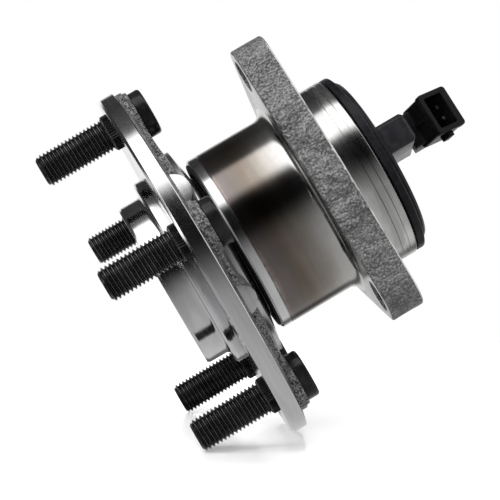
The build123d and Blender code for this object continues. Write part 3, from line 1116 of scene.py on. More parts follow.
class Moulded(Finish):
    """Moulded plastic or rubber with an eroded grain."""

    def build(self) -> None:
        """Wire the grain into colour, roughness and normal."""
        darkest, lightest = 0.75, 1.3
        smudge_scale, smudge_rough = 80.0, 0.10
        tone, n = self.tone, self.nodes
        grain = self.effects.moulding.use(n, Scale=tone.grain)
        smudge = self.effects.smudge.use(n, Scale=smudge_scale)
        share = n.spread(grain.outputs["Tone"], 0.3, 0.7)
        self.set(
            Base_Color=n.mix(share, tint(tone.base, darkest), tint(tone.base, lightest)),
            Metallic=0.0,
            Roughness=n.math("MULTIPLY_ADD", smudge.outputs["Mask"], smudge_rough, tone.rough),
            Specular_IOR_Level=tone.gloss,
        )
        self.bump(grain.outputs["Height"], tone.depth)


@dataclass(frozen=True)
class OxideTone(Tone):
    """Grey levels of an oxide, plain and in rubbed patches; the lighter pair on the studs' crests is a
    painted highlight.
    """

    low: float
    high: float


class BlackOxide(Finish):
    """Black oxide on steel with lighter rubbed patches at random; its lighter copy on the thread and knurl
    crests is a painted highlight.
    """

    def build(self) -> None:
        """Wire the oxide's grain and its rubbed patches."""
        grain_scale, grain_depth, rub_scale = 3500.0, 0.002, 160.0
        rough, rough_rise = 0.19, 0.06
        n = self.nodes
        grain = self.effects.moulding.use(n, Scale=grain_scale)
        rubbed_and_highlit = self.effects.smudge.use(n, Scale=rub_scale).outputs["Mask"]
        self.set(
            Base_Color=n.mix(rubbed_and_highlit, grey(self.tone.low), grey(self.tone.high)),
            Metallic=0.75,
            Specular_IOR_Level=0.3,
            Roughness=n.math("MULTIPLY_ADD", grain.outputs["Tone"], rough_rise, rough),
        )
        self.bump(grain.outputs["Height"], grain_depth)


@dataclass
class Finishes:
    """Every material of the part."""

    effects: Effects

    def __post_init__(self) -> None:
        """Build the materials."""
        self.build_steels()
        self.build_forged()
        self.build_small_metals()
        self.build_mouldings()

    def build_steels(self) -> None:
        """Turned steel of the hub and of the outer ring."""
        e = self.effects
        self.polished = TurnedMetal(e, MetalTone(
            "polished_steel", base=(0.68, 0.68, 0.69), streak=0.20, rough=0.04, rough_spread=0.16,
            groove=0.0008, lines=1300.0, drift=1.2, anisotropy=0.3,
        )).material
        self.machined = TurnedMetal(e, MetalTone(
            "machined_steel", base=(0.62, 0.62, 0.62), streak=0.26, rough=0.16, rough_spread=0.18,
            groove=0.004, lines=1500.0, drift=1.0, anisotropy=0.4,
        )).material
        self.satin = TurnedMetal(e, MetalTone(
            "satin_steel", base=(0.64, 0.64, 0.63), streak=0.36, rough=0.06, rough_spread=0.22,
            groove=0.002, lines=1600.0, drift=1.7, anisotropy=0.4,
        )).material
        self.tinted = TintedMetal(e, MetalTone(
            "heat_tinted_steel", base=(0.5, 0.5, 0.5), streak=0.14, rough=0.08, rough_spread=0.12,
            groove=0.001, lines=1400.0, drift=1.2, anisotropy=0.3,
        )).material
        self.rim = TurnedMetal(e, MetalTone(
            "bright_rim", base=(0.72, 0.72, 0.71), streak=0.2, rough=0.25, rough_spread=0.2,
            groove=0.01, lines=1800.0, drift=2.0, anisotropy=0.2,
        )).material
        self.race = TurnedMetal(e, MetalTone(
            "ground_race_steel", base=(0.62, 0.62, 0.63), streak=0.08, rough=0.08, rough_spread=0.06,
            groove=0.002, lines=6000.0, drift=1.0, anisotropy=0.3,
        )).material

    def build_forged(self) -> None:
        """Forged skin of the flange's back and of the plate's edge, and oxide of the studs."""
        e = self.effects
        self.forged = ForgedMetal(e, ForgedTone(
            "forged_flange", level=0.085, scale=260.0, depth=1.1, contrast=0.75,
            crease_from=-2.0, crease_to=-1.0,
        )).material
        self.cast = ForgedMetal(e, ForgedTone(
            "forged_plate_edge", level=0.09, scale=210.0, depth=1.25, contrast=0.4,
            crease_from=43.0, crease_to=52.0,
        )).material
        self.oxide = BlackOxide(e, OxideTone("black_oxide", low=0.012, high=0.024)).material
        # The lighter oxide paints a highlight on the crests of the studs' thread and knurl.
        self.rubbed_and_highlit = BlackOxide(e, OxideTone("oxide_painted_crest_highlight", low=0.045, high=0.085)).material

    def build_small_metals(self) -> None:
        """Metal of the balls, the pressed pieces and the terminals."""
        e = self.effects
        self.ball = TurnedMetal(e, MetalTone(
            "polished_ball_steel", base=(0.72, 0.72, 0.73), streak=0.03, rough=0.04, rough_spread=0.04,
            groove=0.0005, lines=3000.0, drift=2.0, anisotropy=0.0,
        )).material
        self.stainless = TurnedMetal(e, MetalTone(
            "pressed_stainless", base=(0.58, 0.58, 0.57), streak=0.15, rough=0.24, rough_spread=0.16,
            groove=0.004, lines=2400.0, drift=2.4, anisotropy=0.2,
        )).material
        # The terminals' metal is kept dark as painted shade for the socket's dim mouth.
        self.terminal = TurnedMetal(e, MetalTone(
            "terminal_metal_painted_shade", base=(0.14, 0.135, 0.125), streak=0.12, rough=0.42, rough_spread=0.2,
            groove=0.003, lines=5000.0, drift=3.0, anisotropy=0.0,
        )).material

    def build_mouldings(self) -> None:
        """Plastic and rubber."""
        e = self.effects
        self.cap = Moulded(e, MouldedTone(
            "cover_plastic", base=(0.004, 0.004, 0.0048), rough=0.32, grain=5200.0, depth=0.006, gloss=0.1,
        )).material
        self.holder = Moulded(e, MouldedTone(
            "holder_plastic", base=(0.008, 0.008, 0.0092), rough=0.18, grain=4200.0, depth=0.004, gloss=0.16,
        )).material
        self.socket = Moulded(e, MouldedTone(
            "socket_plastic", base=(0.002, 0.002, 0.0022), rough=0.30, grain=5200.0, depth=0.008, gloss=0.12,
        )).material
        self.rubber = Moulded(e, MouldedTone(
            "seal_rubber", base=(0.006, 0.006, 0.006), rough=0.6, grain=2600.0, depth=0.05, gloss=0.1,
        )).material
        self.magnet = Moulded(e, MouldedTone(
            "magnet_rubber", base=(0.03, 0.027, 0.024), rough=0.55, grain=3600.0, depth=0.02,
        )).material
        self.cage = Moulded(e, MouldedTone(
            "cage_nylon", base=(0.62, 0.55, 0.36), rough=0.46, grain=3000.0, depth=0.01,
        )).material
        self.chip = Moulded(e, MouldedTone(
            "chip_resin", base=(0.01, 0.01, 0.011), rough=0.3, grain=6000.0, depth=0.006,
        )).material


# The part


@dataclass
class HubForging:
    """Hub forging: pilots, flange, forged back with its pads, bosses and lug, and the spindle."""

    finishes: Finishes
    disc_r: float = DISC_R
    disc_back: float = 6.0
    rotor_pilot_r: float = 37.2
    wheel_pilot_r: float = 32.05
    pilot_front: float = -13.3
    back_r: float = 60.5
    lobe_r: float = 10.6
    fillet_r: float = 4.5
    pad_r: float = 9.8
    head_seat_r: float = 10.1
    screw_circle_r: float = 58.5
    screw_hole_r: float = 3.4
    screw_angles: tuple[float, float] = (27.0, 171.0)
    boss_front: float = 62.3
    boss_r: float = 5.8
    boss_height: float = 6.0
    boss_shift: float = -1.3
    lug_angle: float = 346.2
    lug_r: float = 7.2
    lug_height: float = 4.4

    def outline(self) -> list[Corner]:
        """Corners of the turned form, from the front hollow to the rolled collar.

        Returns:
            Corners in order.
        """
        disc, rotor, wheel, nose = self.disc_r, self.rotor_pilot_r, self.wheel_pilot_r, self.pilot_front
        hollow = [
            Corner(0, 13.2), Corner(4.25, 13.2, 2.0), Corner(8.5, 6.2, 2.0), Corner(24.0, 6.2, 3.5),
            Corner(25.0, nose + 1.4, 0.3), Corner(26.4, nose, 0.3),
        ]
        pilots = [
            Corner(wheel - 0.55, nose, 0.25), Corner(wheel, nose + 1.1, 0.4), Corner(wheel, -4.2, 1.5),
            Corner(rotor - 0.7, -4.2, 0.25), Corner(rotor, -3.5, 0.25), Corner(rotor, -0.35),
            Corner(rotor - 0.2, 0.0),
        ]
        flange = [
            Corner(disc - 1.1, 0, 0.2), Corner(disc, 0.9, 0.3), Corner(disc, self.disc_back - 0.3, 0.2),
            Corner(disc - 0.3, self.disc_back, 0.1), Corner(63.5, 7.15, 0.4), Corner(41.05, 7.15),
            Corner(41.0, 12.4, 0.1), Corner(27.3, 15.0, 0.3), Corner(22.6, 15.0, 0.2),
        ]
        track = [c for c in track_arc(FRONT_ROW_Z, 22.6, 20.4, False) if c.z < FRONT_ROW_Z + 0.1]
        spindle = [
            Corner(20.4, FRONT_ROW_Z), Corner(20.4, 41.2), Corner(19.6, 42.0), Corner(16.5, 42.0),
            Corner(16.5, 66.0), Corner(20.8, 66.0), Corner(20.8, 69.4, 2.0), Corner(9.5, 69.4, 1.5),
            Corner(9.5, 57.4), Corner(0, 52.6),
        ]
        return hollow + pilots + flange + track + spindle

    def flank(self, middle: float, side: float) -> list[Vector]:
        """One side of a lobe, from the core's rim to the lobe's tip.

        Args:
            middle: angle of the lobe in degrees.
            side: angle of the hollow beside it.

        Returns:
            Points along the fillet and the lobe.
        """
        hollow = polar(self.back_r + self.fillet_r, side)
        centre = polar(STUD_CIRCLE_R, middle)
        to_core = -hollow.normalized()
        to_lobe = (centre - hollow).normalized()
        to_hollow = (hollow - centre).normalized()
        tip = centre.normalized()
        fillet = [hollow + ray_between(to_core, to_lobe, k / 6) * self.fillet_r for k in range(7)]
        lobe = [centre + ray_between(to_hollow, tip, k / 8) * self.lobe_r for k in range(1, 9)]
        return fillet + lobe

    def lobes(self) -> list[tuple[float, float]]:
        """Scalloped outline of the forged back, with a lobe at each stud.

        Returns:
            Points in millimetres.
        """
        hollow_r = self.back_r + self.fillet_r
        span = self.lobe_r + self.fillet_r
        cosine = (hollow_r**2 + STUD_CIRCLE_R**2 - span**2) / (2 * hollow_r * STUD_CIRCLE_R)
        half = math.degrees(math.acos(cosine))
        gap = STUD_STEP - 2 * half
        points: list[Vector] = []
        for index in range(STUDS):
            middle = index * STUD_STEP
            points += self.flank(middle, middle - half)
            points += list(reversed(self.flank(middle, middle + half)))[1:]
            points += [polar(self.back_r, middle + half + gap * k / 24) for k in range(1, 24)]
        return [(point.x, point.y) for point in points]

    def forged_back(self) -> bpy.types.Object:
        """Lobed back under a sloping top, with the stud pads, the bosses and the lug.

        Returns:
            The piece, not yet dressed.
        """
        plate = Bench.slab("hub_back", self.lobes(), 5.0, 13.0)
        slope = [
            Corner(0, 4.0), Corner(75.0, 4.0), Corner(75.0, 8.4), Corner(57.5, 9.2, 4.0),
            Corner(49.0, 9.8, 6.0), Corner(41.3, 10.9, 0.4), Corner(38.0, 10.9), Corner(0, 10.9),
        ]
        Bench.combine(plate, [Bench.turn("cone", slope)], "INTERSECT")
        additions = []
        for index in range(STUDS):
            pad = Bench.post("pad", polar(STUD_CIRCLE_R, index * STUD_STEP), self.pad_r, 5.5, PAD_BACK)
            Bench.bevel(pad, 0.5, 3, level_at(PAD_BACK))
            additions.append(pad)
        additions += [self.boss(*place) for place in self.bosses()]
        Bench.combine(plate, additions, "UNION")
        self.drill(plate)

        def brow(edge: bmesh.types.BMEdge) -> bool:
            """Edge between the sloping top and the wall."""
            ups = [face.normal.z for face in edge.link_faces]
            return len(ups) == 2 and max(ups) > 0.9 and abs(min(ups)) < 0.2

        Bench.bevel(plate, 0.5, 3, brow)
        return plate

    def bosses(self) -> list[tuple[float, float, float]]:
        """Angle, radius and height of the axis of each boss and of the lug."""
        places = [(angle + self.boss_shift, self.boss_r, self.boss_height) for angle in self.screw_angles]
        return [*places, (self.lug_angle, self.lug_r, self.lug_height)]

    def boss(self, angle: float, radius: float, height: float) -> bpy.types.Object:
        """Round-backed boss of the forging, turned flat on its outer side.

        Args:
            angle: place round the spin axis, in degrees.
            radius: radius of its round back.
            height: height of the round's axis above the rotor face.

        Returns:
            The boss, cut off inside the flange.
        """
        front = self.boss_front
        boss = Bench.post("boss", CENTRE, radius, 44.0, front + 3.0, 96)
        lay = Matrix.Translation(Vector((0, 0, height)) * MM) @ Matrix.Rotation(math.pi / 2, 4, "Y")
        boss.data.transform(Matrix.Rotation(math.radians(angle), 4, "Z") @ lay)
        Bench.combine(boss, [Bench.post("cutter", CENTRE, front, 5.4, 20.0, 360)], "INTERSECT")

        def crest(edge: bmesh.types.BMEdge) -> bool:
            """Edge between the turned side and the round back.

            Args:
                edge: edge to test.

            Returns:
                True for such an edge above the flange's disc.
            """
            reach = min(v.co.xy.length for v in edge.verts) / MM
            turned = sum(1 for face in edge.link_faces if abs(face.normal.z) < 0.01)
            return reach > front - 0.02 and turned == 1 and max(v.co.z for v in edge.verts) > 5.6 * MM

        Bench.bevel(boss, 0.25, 2, crest)
        return boss

    def drill(self, target: bpy.types.Object) -> None:
        """Cut the head seats and the screw holes through a piece of the flange.

        Args:
            target: piece to cut.
        """
        cutters = []
        for index in range(STUDS):
            centre = polar(STUD_CIRCLE_R, index * STUD_STEP)
            cutters.append(Bench.post("cutter", centre, self.head_seat_r, PAD_BACK, 20.0))
        for angle in self.screw_angles:
            centre = polar(self.screw_circle_r, angle)
            cutters.append(Bench.post("cutter", centre, self.screw_hole_r, -5.0, 20.0))
        Bench.combine(target, cutters, "DIFFERENCE")

    def turned_side(self, centre: Vector, steep: bool) -> bool:
        """Tell whether a face of the forged back was turned bright.

        Args:
            centre: the face's centre in millimetres.
            steep: True for a face that stands nearly upright.

        Returns:
            True on the turned side of a boss or lug, and on the upright faces beside the lug.
        """
        reach = centre.xy.length
        beside = math.degrees(math.atan2(centre.y, centre.x))
        if steep and -18.5 < beside < -8.8 and reach > 56.0:
            return True
        for angle, radius, _ in self.bosses():
            across = polar(1.0, angle + 90.0)
            if reach > self.boss_front - 0.06 and abs(centre.dot(across)) < radius:
                return centre.dot(polar(1.0, angle)) > 0
        return False

    def choose(self, face: bpy.types.MeshPolygon, centre: Vector) -> int:
        """Pick the material of one face of the turned form.

        Args:
            face: the face.
            centre: its centre in millimetres.

        Returns:
            0 for polished, 1 for machined, 2 for forged and 3 for ground steel.
        """
        radius = centre.xy.length
        behind_disc = centre.z > self.disc_back - 0.03
        if centre.z > 15.5:
            return 3
        if radius < 26.0 and -12.5 < centre.z < 14.0:
            return 2
        if behind_disc and radius > 41.2:
            return 2 if radius < self.disc_r - 0.2 else 0
        return 1 if behind_disc else 0

    def build(self) -> None:
        """Make the hub's two pieces and hand them over."""
        body = Bench.turn("hub_turned", self.outline(), 256)
        self.drill(body)
        dress(
            body,
            [self.finishes.polished, self.finishes.machined, self.finishes.forged, self.finishes.race],
            self.choose,
        )
        Bench.smooth(body)
        place_piece(body, Body.HUB, Slot.HUB, ["hub_flange"])
        back = self.forged_back()

        def finish(face: bpy.types.MeshPolygon, centre: Vector) -> int:
            """Machined on the turned sides of the bosses, forged elsewhere."""
            return 1 if self.turned_side(centre, abs(face.normal.z) < 0.35) else 0

        dress(back, [self.finishes.forged, self.finishes.machined], finish)
        Bench.smooth(back, 40.0)
        place_piece(back, Body.HUB, Slot.HUB, [])


@dataclass
class WheelStuds:
    """Five press-in studs with a cut thread, a knurled shank and a round head."""

    finishes: Finishes
    crest_r: float = 6.0
    root_r: float = 5.12
    pitch: float = 1.5
    turns: int = 21
    reach: float = 29.7
    thread_end: float = -2.6
    tip_chamfer: float = 1.3
    knurl_r: float = 6.75
    knurl_depth: float = 0.42
    knurl_teeth: int = 44
    knurl_low: float = -2.2
    head_r: float = 8.8
    head_t: float = 4.6

    def thread(self) -> bpy.types.Object:
        """Thread as a screwed profile, trimmed by a chamfered envelope.

        Returns:
            The thread, upright on the spin axis.
        """
        low = -self.reach - 2 * self.pitch
        pitch = self.pitch
        profile = [
            Vector((self.root_r, 0, low)),
            Vector((self.root_r, 0, low + 0.16 * pitch)),
            Vector((self.crest_r, 0, low + 0.50 * pitch)),
            Vector((self.crest_r, 0, low + 0.64 * pitch)),
            Vector((self.root_r, 0, low + pitch)),
        ]
        obj = Bench.chain("stud_thread", profile, closed=False)
        bpy.ops.object.mode_set(mode="OBJECT")
        Bench.pick(obj)
        screw = obj.modifiers.new("thread", "SCREW")
        screw.axis = "Z"
        screw.screw_offset = pitch * MM
        screw.iterations = self.turns
        screw.steps = 48
        screw.render_steps = 48
        screw.use_merge_vertices = True
        screw.merge_threshold = WELD
        bpy.ops.object.modifier_apply(modifier=screw.name)
        for height, outer in ((-self.reach, False), (self.thread_end, True)):
            Bench.edit(obj)
            bpy.ops.mesh.bisect(
                plane_co=(0, 0, height * MM), plane_no=(0, 0, 1), use_fill=True,
                clear_outer=outer, clear_inner=not outer,
            )
            bpy.ops.object.mode_set(mode="OBJECT")
        Bench.edit(obj)
        Bench.tidy(obj)
        tip = -self.reach
        envelope = Bench.turn(
            "envelope",
            [
                Corner(0, tip - 1), Corner(self.crest_r - self.tip_chamfer - 1, tip - 1),
                Corner(self.crest_r + 0.4, tip + self.tip_chamfer + 0.4), Corner(self.crest_r + 0.4, -3.6),
                Corner(self.root_r, -2.9), Corner(self.root_r, -2.3), Corner(0, -2.3),
            ],
            64,
        )
        Bench.combine(obj, [envelope], "INTERSECT")
        return obj

    def knurl(self) -> bpy.types.Object:
        """Knurled shank: a many-sided post with every second edge drawn in.

        Returns:
            The shank, upright on the spin axis.
        """
        sides = 2 * self.knurl_teeth
        obj = Bench.post("stud_knurl", CENTRE, self.knurl_r, self.knurl_low, 8.0, sides)
        Bench.edit(obj, "DESELECT")
        mesh = bmesh.from_edit_mesh(obj.data)
        for vert in mesh.verts:
            vert.select = round(math.atan2(vert.co.y, vert.co.x) / (math.tau / sides)) % 2 == 1
        mesh.select_flush_mode()
        bmesh.update_edit_mesh(obj.data)
        shrink = 1 - self.knurl_depth / self.knurl_r
        bpy.ops.transform.resize(value=(shrink, shrink, 1), center_override=(0, 0, 0))
        bpy.ops.mesh.select_all(action="DESELECT")
        mesh = bmesh.from_edit_mesh(obj.data)
        low = min(vert.co.z for vert in mesh.verts)
        for face in mesh.faces:
            face.select = all(abs(vert.co.z - low) < WELD for vert in face.verts)
        bmesh.update_edit_mesh(obj.data)
        bpy.ops.mesh.extrude_region_move(TRANSFORM_OT_translate={"value": (0, 0, -0.7 * MM)})
        taper = (self.crest_r - 0.3) / self.knurl_r
        bpy.ops.transform.resize(value=(taper, taper, 1), center_override=(0, 0, 0))
        Bench.tidy(obj)
        return obj

    def head(self) -> bpy.types.Object:
        """Round head with soft edges and a shallow forging dish.

        Returns:
            The head, upright on the spin axis.
        """
        top = PAD_BACK + self.head_t
        outline = [
            Corner(0, 7.0), Corner(6.9, 7.0), Corner(6.9, PAD_BACK), Corner(self.head_r, PAD_BACK, 0.3),
            Corner(self.head_r, top, 1.1), Corner(5.6, top, 0.4), Corner(5.1, top - 0.25, 0.3),
            Corner(0, top - 0.25),
        ]
        return Bench.turn("stud_head", outline, 96, 5)

    def choose(self, face: bpy.types.MeshPolygon, centre: Vector) -> int:
        """Pick the material of one face.

        Args:
            face: the face.
            centre: its centre in millimetres.

        Returns:
            1 for the lighter oxide with a painted highlight on the crests of the thread and of the knurl, 0
            for plain oxide.
        """
        reach = math.hypot(centre.x - STUD_CIRCLE_R, centre.y)
        if centre.z < self.knurl_low:
            return 1 if reach > self.crest_r - 0.06 else 0
        return 1 if centre.z < 0 and reach > self.knurl_r - 0.12 else 0

    def build(self) -> None:
        """Make one stud, copy it round the flange and hand the five over."""
        stud = self.thread()
        stud.name = "wheel_stud_master"
        Bench.join(stud, [self.knurl(), self.head()])
        stud.data.transform(Matrix.Translation(Vector((STUD_CIRCLE_R, 0, 0)) * MM))
        dress(stud, [self.finishes.oxide, self.finishes.rubbed_and_highlit], self.choose)
        Bench.smooth(stud, 28.0)
        for index in range(STUDS):
            copy = Bench.twin(stud, f"threaded_stud_{index + 1}", index * STUD_STEP)
            place_piece(copy, Body.HUB, Slot.STUD, [f"wheel_stud_{index + 1}"])
        bpy.data.objects.remove(stud)


@dataclass
class BearingOuter:
    """Outer ring with its eared mounting plate and rear spigot."""

    finishes: Finishes
    body_r: float = 34.65
    spigot_r: float = 35.5
    plate_front: float = 48.5
    plate_back: float = 60.9
    sink: float = 0.06
    plate_r: float = 39.3
    ear_angles: tuple[float, float, float] = (60.0, 180.0, 300.0)
    ear_circle_r: float = 52.4
    ear_r: float = 9.8
    hole_r: float = 5.35

    def outline(self) -> list[Corner]:
        """Corners of the turned ring, outside then inside.

        Returns:
            Corners in order.
        """
        body, spigot = self.body_r, self.spigot_r
        front, back = self.plate_front + self.sink, self.plate_back - self.sink
        outside = [
            Corner(31.0, 17.0), Corner(31.6, 16.4, 0.1), Corner(body - 0.6, 16.4, 0.15),
            Corner(body, 17.0, 0.15), Corner(body, 20.0), Corner(body - 0.35, 20.25, 0.1),
            Corner(body, 20.55), Corner(body, front, 4.2), Corner(38.6, front), Corner(38.6, back),
            Corner(spigot, back, 0.3),
        ]
        grooves = []
        for low in (66.2, 69.2):
            bottom = Corner(spigot - 0.3, low + 0.2, 0.08)
            grooves += [Corner(spigot, low), bottom, Corner(spigot, low + 0.42)]
        rear = [
            Corner(spigot, 71.8, 0.2), Corner(spigot - 1.0, 72.8, 0.15), Corner(32.0, 72.8),
            Corner(32.0, 64.4), Corner(30.3, 64.4), Corner(30.3, REAR_ROW_Z),
        ]
        rear_track = [c for c in track_arc(REAR_ROW_Z, 27.8, 30.3, True)[::-1] if c.z < REAR_ROW_Z - 0.1]
        middle = [
            Corner(27.8, 48.25, 0.3), Corner(28.7, 47.25, 0.3), Corner(28.7, 38.25, 0.3),
            Corner(27.8, 37.25, 0.3),
        ]
        front_track = [c for c in track_arc(FRONT_ROW_Z, 27.8, 27.8, True)[::-1] if c.z > FRONT_ROW_Z + 0.1]
        inside = [Corner(30.3, FRONT_ROW_Z), Corner(30.3, 22.3), Corner(31.0, 22.3)]
        return outside + grooves + rear + rear_track + middle + front_track + inside

    def plate_outline(self) -> list[tuple[float, float]]:
        """Outline of the plate: three ears joined to a round core by straight flanks.

        Returns:
            Points in millimetres.
        """
        lean = math.degrees(math.acos((self.plate_r - self.ear_r) / self.ear_circle_r))
        step = 360.0 / len(self.ear_angles)
        points: list[Vector] = []
        for middle in self.ear_angles:
            ear = polar(self.ear_circle_r, middle)
            points += [ear + polar(self.ear_r, middle + lean * (k / 10 - 1)) for k in range(21)]
            core = [polar(self.plate_r, middle + lean + (step - 2 * lean) * k / 5) for k in range(6)]
            following = polar(self.ear_circle_r, middle + step) + polar(self.ear_r, middle + step - lean)
            points += stretch(points[-1], core[0]) + core + stretch(core[-1], following)
        return [(point.x, point.y) for point in points]

    def roughen(self, plate: bpy.types.Object) -> None:
        """Give the plate's edge the uneven surface that forging leaves.

        Args:
            plate: plate with plain walls.
        """
        def wall(edge: bmesh.types.BMEdge) -> bool:
            """True for an edge that climbs the plate's wall."""
            return abs(edge.verts[0].co.z - edge.verts[1].co.z) > 5 * MM

        ends = (self.plate_front * MM, self.plate_back * MM)
        Bench.pick_edges(plate, wall)
        bpy.ops.mesh.subdivide(number_cuts=11)
        bpy.ops.mesh.select_mode(type="VERT")
        bpy.ops.object.mode_set(mode="OBJECT")
        group = plate.vertex_groups.new(name="edge")
        for vertex in plate.data.vertices:
            if ends[0] + 0.2 * MM < vertex.co.z < ends[1] - 0.2 * MM:
                reach = (vertex.co.xy.length / MM - 43.0) / 9.0
                group.add([vertex.index], 1.0 - 0.75 * min(max(reach, 0.0), 1.0), "REPLACE")
        for size, depth in ((0.007, 0.9), (0.0026, 0.6)):
            clouds = bpy.data.textures.new("forging_clouds", "CLOUDS")
            clouds.noise_scale = size
            clouds.noise_depth = 1
            modifier = plate.modifiers.new("roughen", "DISPLACE")
            modifier.texture = clouds
            modifier.texture_coords = "LOCAL"
            modifier.vertex_group = group.name
            modifier.strength = depth * MM
            modifier.mid_level = 0.55
            Bench.pick(plate)
            bpy.ops.object.modifier_apply(modifier=modifier.name)
        plate.vertex_groups.clear()

    def plate(self) -> bpy.types.Object:
        """Eared plate with eased rims, a rough forged edge, its bore and its bolt holes.

        Returns:
            The plate, not yet dressed.
        """
        plate = Bench.slab("mounting_plate", self.plate_outline(), self.plate_front, self.plate_back)
        Bench.bevel(plate, 0.95, 4, level_at(self.plate_front, self.plate_back))
        self.roughen(plate)
        cutters = [Bench.post("cutter", CENTRE, 37.0, self.plate_front - 5, self.plate_back + 5, 192)]
        cutters += [self.bolt_cutter(polar(self.ear_circle_r, angle)) for angle in self.ear_angles]
        Bench.combine(plate, cutters, "DIFFERENCE")
        return plate

    def bolt_cutter(self, centre: Vector) -> bpy.types.Object:
        """Cutter of one tapped hole, chamfered at both mouths.

        Args:
            centre: place of the hole, in millimetres.

        Returns:
            The cutter.
        """
        low, high = self.plate_front, self.plate_back
        outline = [
            Corner(0, low - 1), Corner(self.hole_r + 1.7, low - 1), Corner(self.hole_r, low + 0.7),
            Corner(self.hole_r, high - 0.7), Corner(self.hole_r + 1.7, high + 1), Corner(0, high + 1),
        ]
        cutter = Bench.turn("cutter", outline, 64)
        cutter.data.transform(Matrix.Translation(centre * MM))
        return cutter

    def choose_ring(self, face: bpy.types.MeshPolygon, centre: Vector) -> int:
        """Pick the material of one face of the turned ring.

        Args:
            face: the face.
            centre: its centre in millimetres.

        Returns:
            0 for the tinted body, 1 for the satin spigot, 2 for the polished rims and 3 inside.
        """
        radius = centre.xy.length
        if radius < 31.2 or (radius < 32.2 and centre.z > 60):
            return 3
        if centre.z < 20.3 or (radius < 34.6 and centre.z > 72.0):
            return 2
        return 1 if centre.z > 60 else 0

    def choose_plate(self, face: bpy.types.MeshPolygon, centre: Vector) -> int:
        """Pick the material of one face of the plate.

        Args:
            face: the face.
            centre: its centre in millimetres.

        Returns:
            0 for the forged edge, 1 for the machined faces and holes and 2 for the bright rim.
        """
        up = abs(face.normal.z)
        if up > 0.98:
            return 1
        if up > 0.3 and self.plate_back - centre.z < 0.8:
            return 2
        flat = Vector((centre.x, centre.y, 0))
        holes = [polar(self.ear_circle_r, angle) for angle in self.ear_angles]
        return 1 if min((flat - hole).length for hole in holes) < self.hole_r + 0.2 else 0

    def build(self) -> None:
        """Make the ring and the plate and hand them over."""
        ring = Bench.turn("bearing_outer_ring", self.outline(), 256)
        f = self.finishes
        dress(ring, [f.tinted, f.satin, f.polished, f.race], self.choose_ring)
        Bench.smooth(ring)
        place_piece(ring, Body.OUTER, Slot.RING, ["outer_ring"])
        plate = self.plate()
        dress(plate, [f.cast, f.machined, f.rim], self.choose_plate)
        Bench.smooth(plate, 25.0)
        place_piece(plate, Body.OUTER, Slot.RING, [])


@dataclass
class FrontSeal:
    """Rubber flap of the front seal in the gap between the hub and the outer ring."""

    finishes: Finishes

    def build(self) -> None:
        """Turn the rubber and hand it over."""
        outline = [
            Corner(30.18, 21.48), Corner(30.18, 16.38), Corner(33.3, 16.38, 0.1), Corner(33.3, 15.78, 0.2),
            Corner(29.28, 15.4, 0.2), Corner(29.28, 19.78, 0.2), Corner(28.4, 19.78),
            Corner(27.8, 15.97, 0.1), Corner(27.2, 15.97, 0.1), Corner(26.8, 19.78, 0.3),
            Corner(24.17, 19.18, 0.1), Corner(23.57, 19.78, 0.1), Corner(26.8, 21.48),
        ]
        seal = Bench.turn("seal_flap", outline, 192, 3)
        dress(seal, [self.finishes.rubber])
        Bench.smooth(seal)
        place_piece(seal, Body.OUTER, Slot.SEAL, ["front_seal_lip"])


@dataclass
class RearCover:
    """Moulded rear cover with a raised bevelled disc."""

    finishes: Finishes
    opening: tuple[tuple[float, float, float], tuple[float, float, float]] = ((21.5, -4, 60), (29.0, 4, 90))

    def outline(self) -> list[Corner]:
        """Corners of the cover, from the inside of its disc to the outside.

        Returns:
            Corners in order.
        """
        return [
            Corner(0, 75.2), Corner(27.0, 75.2), Corner(28.5, 73.7), Corner(28.5, 69.4), Corner(31.18, 69.4),
            Corner(31.18, 70.58), Corner(29.8, 70.6), Corner(29.8, 72.0), Corner(31.18, 72.02),
            Corner(31.18, 72.8), Corner(35.3, 72.8, 0.3), Corner(35.3, 75.7, 0.7), Corner(32.9, 75.7, 0.2),
            Corner(32.7, 75.9), Corner(32.7, 76.8, 0.3), Corner(31.6, 77.9, 0.3), Corner(0, 77.9),
        ]

    def build(self) -> None:
        """Turn the cover, cut the probe's opening and hand it over."""
        cover = Bench.turn("rear_cover", self.outline(), 256)
        cutter = Bench.brick("cutter", *map(Vector, self.opening))
        Bench.combine(cover, [cutter], "DIFFERENCE")
        dress(cover, [self.finishes.cap])
        Bench.smooth(cover)
        place_piece(cover, Body.OUTER, Slot.CAP, ["rear_cap"])


@dataclass
class SensorBlock:
    """Moulded block behind the cover, with the probe that reaches the encoder."""

    finishes: Finishes
    low: tuple[float, float, float] = (4.0, -5.5, 77.85)
    high: tuple[float, float, float] = (30.0, 5.5, 88.8)
    probe_low: tuple[float, float, float] = (21.5, -4, 68.3)
    probe_high: tuple[float, float, float] = (29.0, 4, 79.0)

    def build(self) -> None:
        """Bevel the block, add the probe and hand it over."""
        block = Bench.brick("sensor_block", Vector(self.low), Vector(self.high))
        floor = self.low[2] * MM

        def above(edge: bmesh.types.BMEdge) -> bool:
            """True for an edge that isn't in the block's floor."""
            return any(vert.co.z > floor + WELD for vert in edge.verts)

        def above_and_closed(edge: bmesh.types.BMEdge) -> bool:
            """True for such an edge that joins two faces."""
            return above(edge) and edge.is_manifold

        Bench.bevel(block, 1.3, 1, above)
        Bench.bevel(block, 0.22, 2, above_and_closed)
        probe = Bench.brick("probe", Vector(self.probe_low), Vector(self.probe_high))
        Bench.bevel(probe, 0.15, 2)
        Bench.join(block, [probe])
        dress(block, [self.finishes.holder])
        Bench.smooth(block, 20.0)
        place_piece(block, Body.OUTER, Slot.HOLDER, ["sensor_holder"])


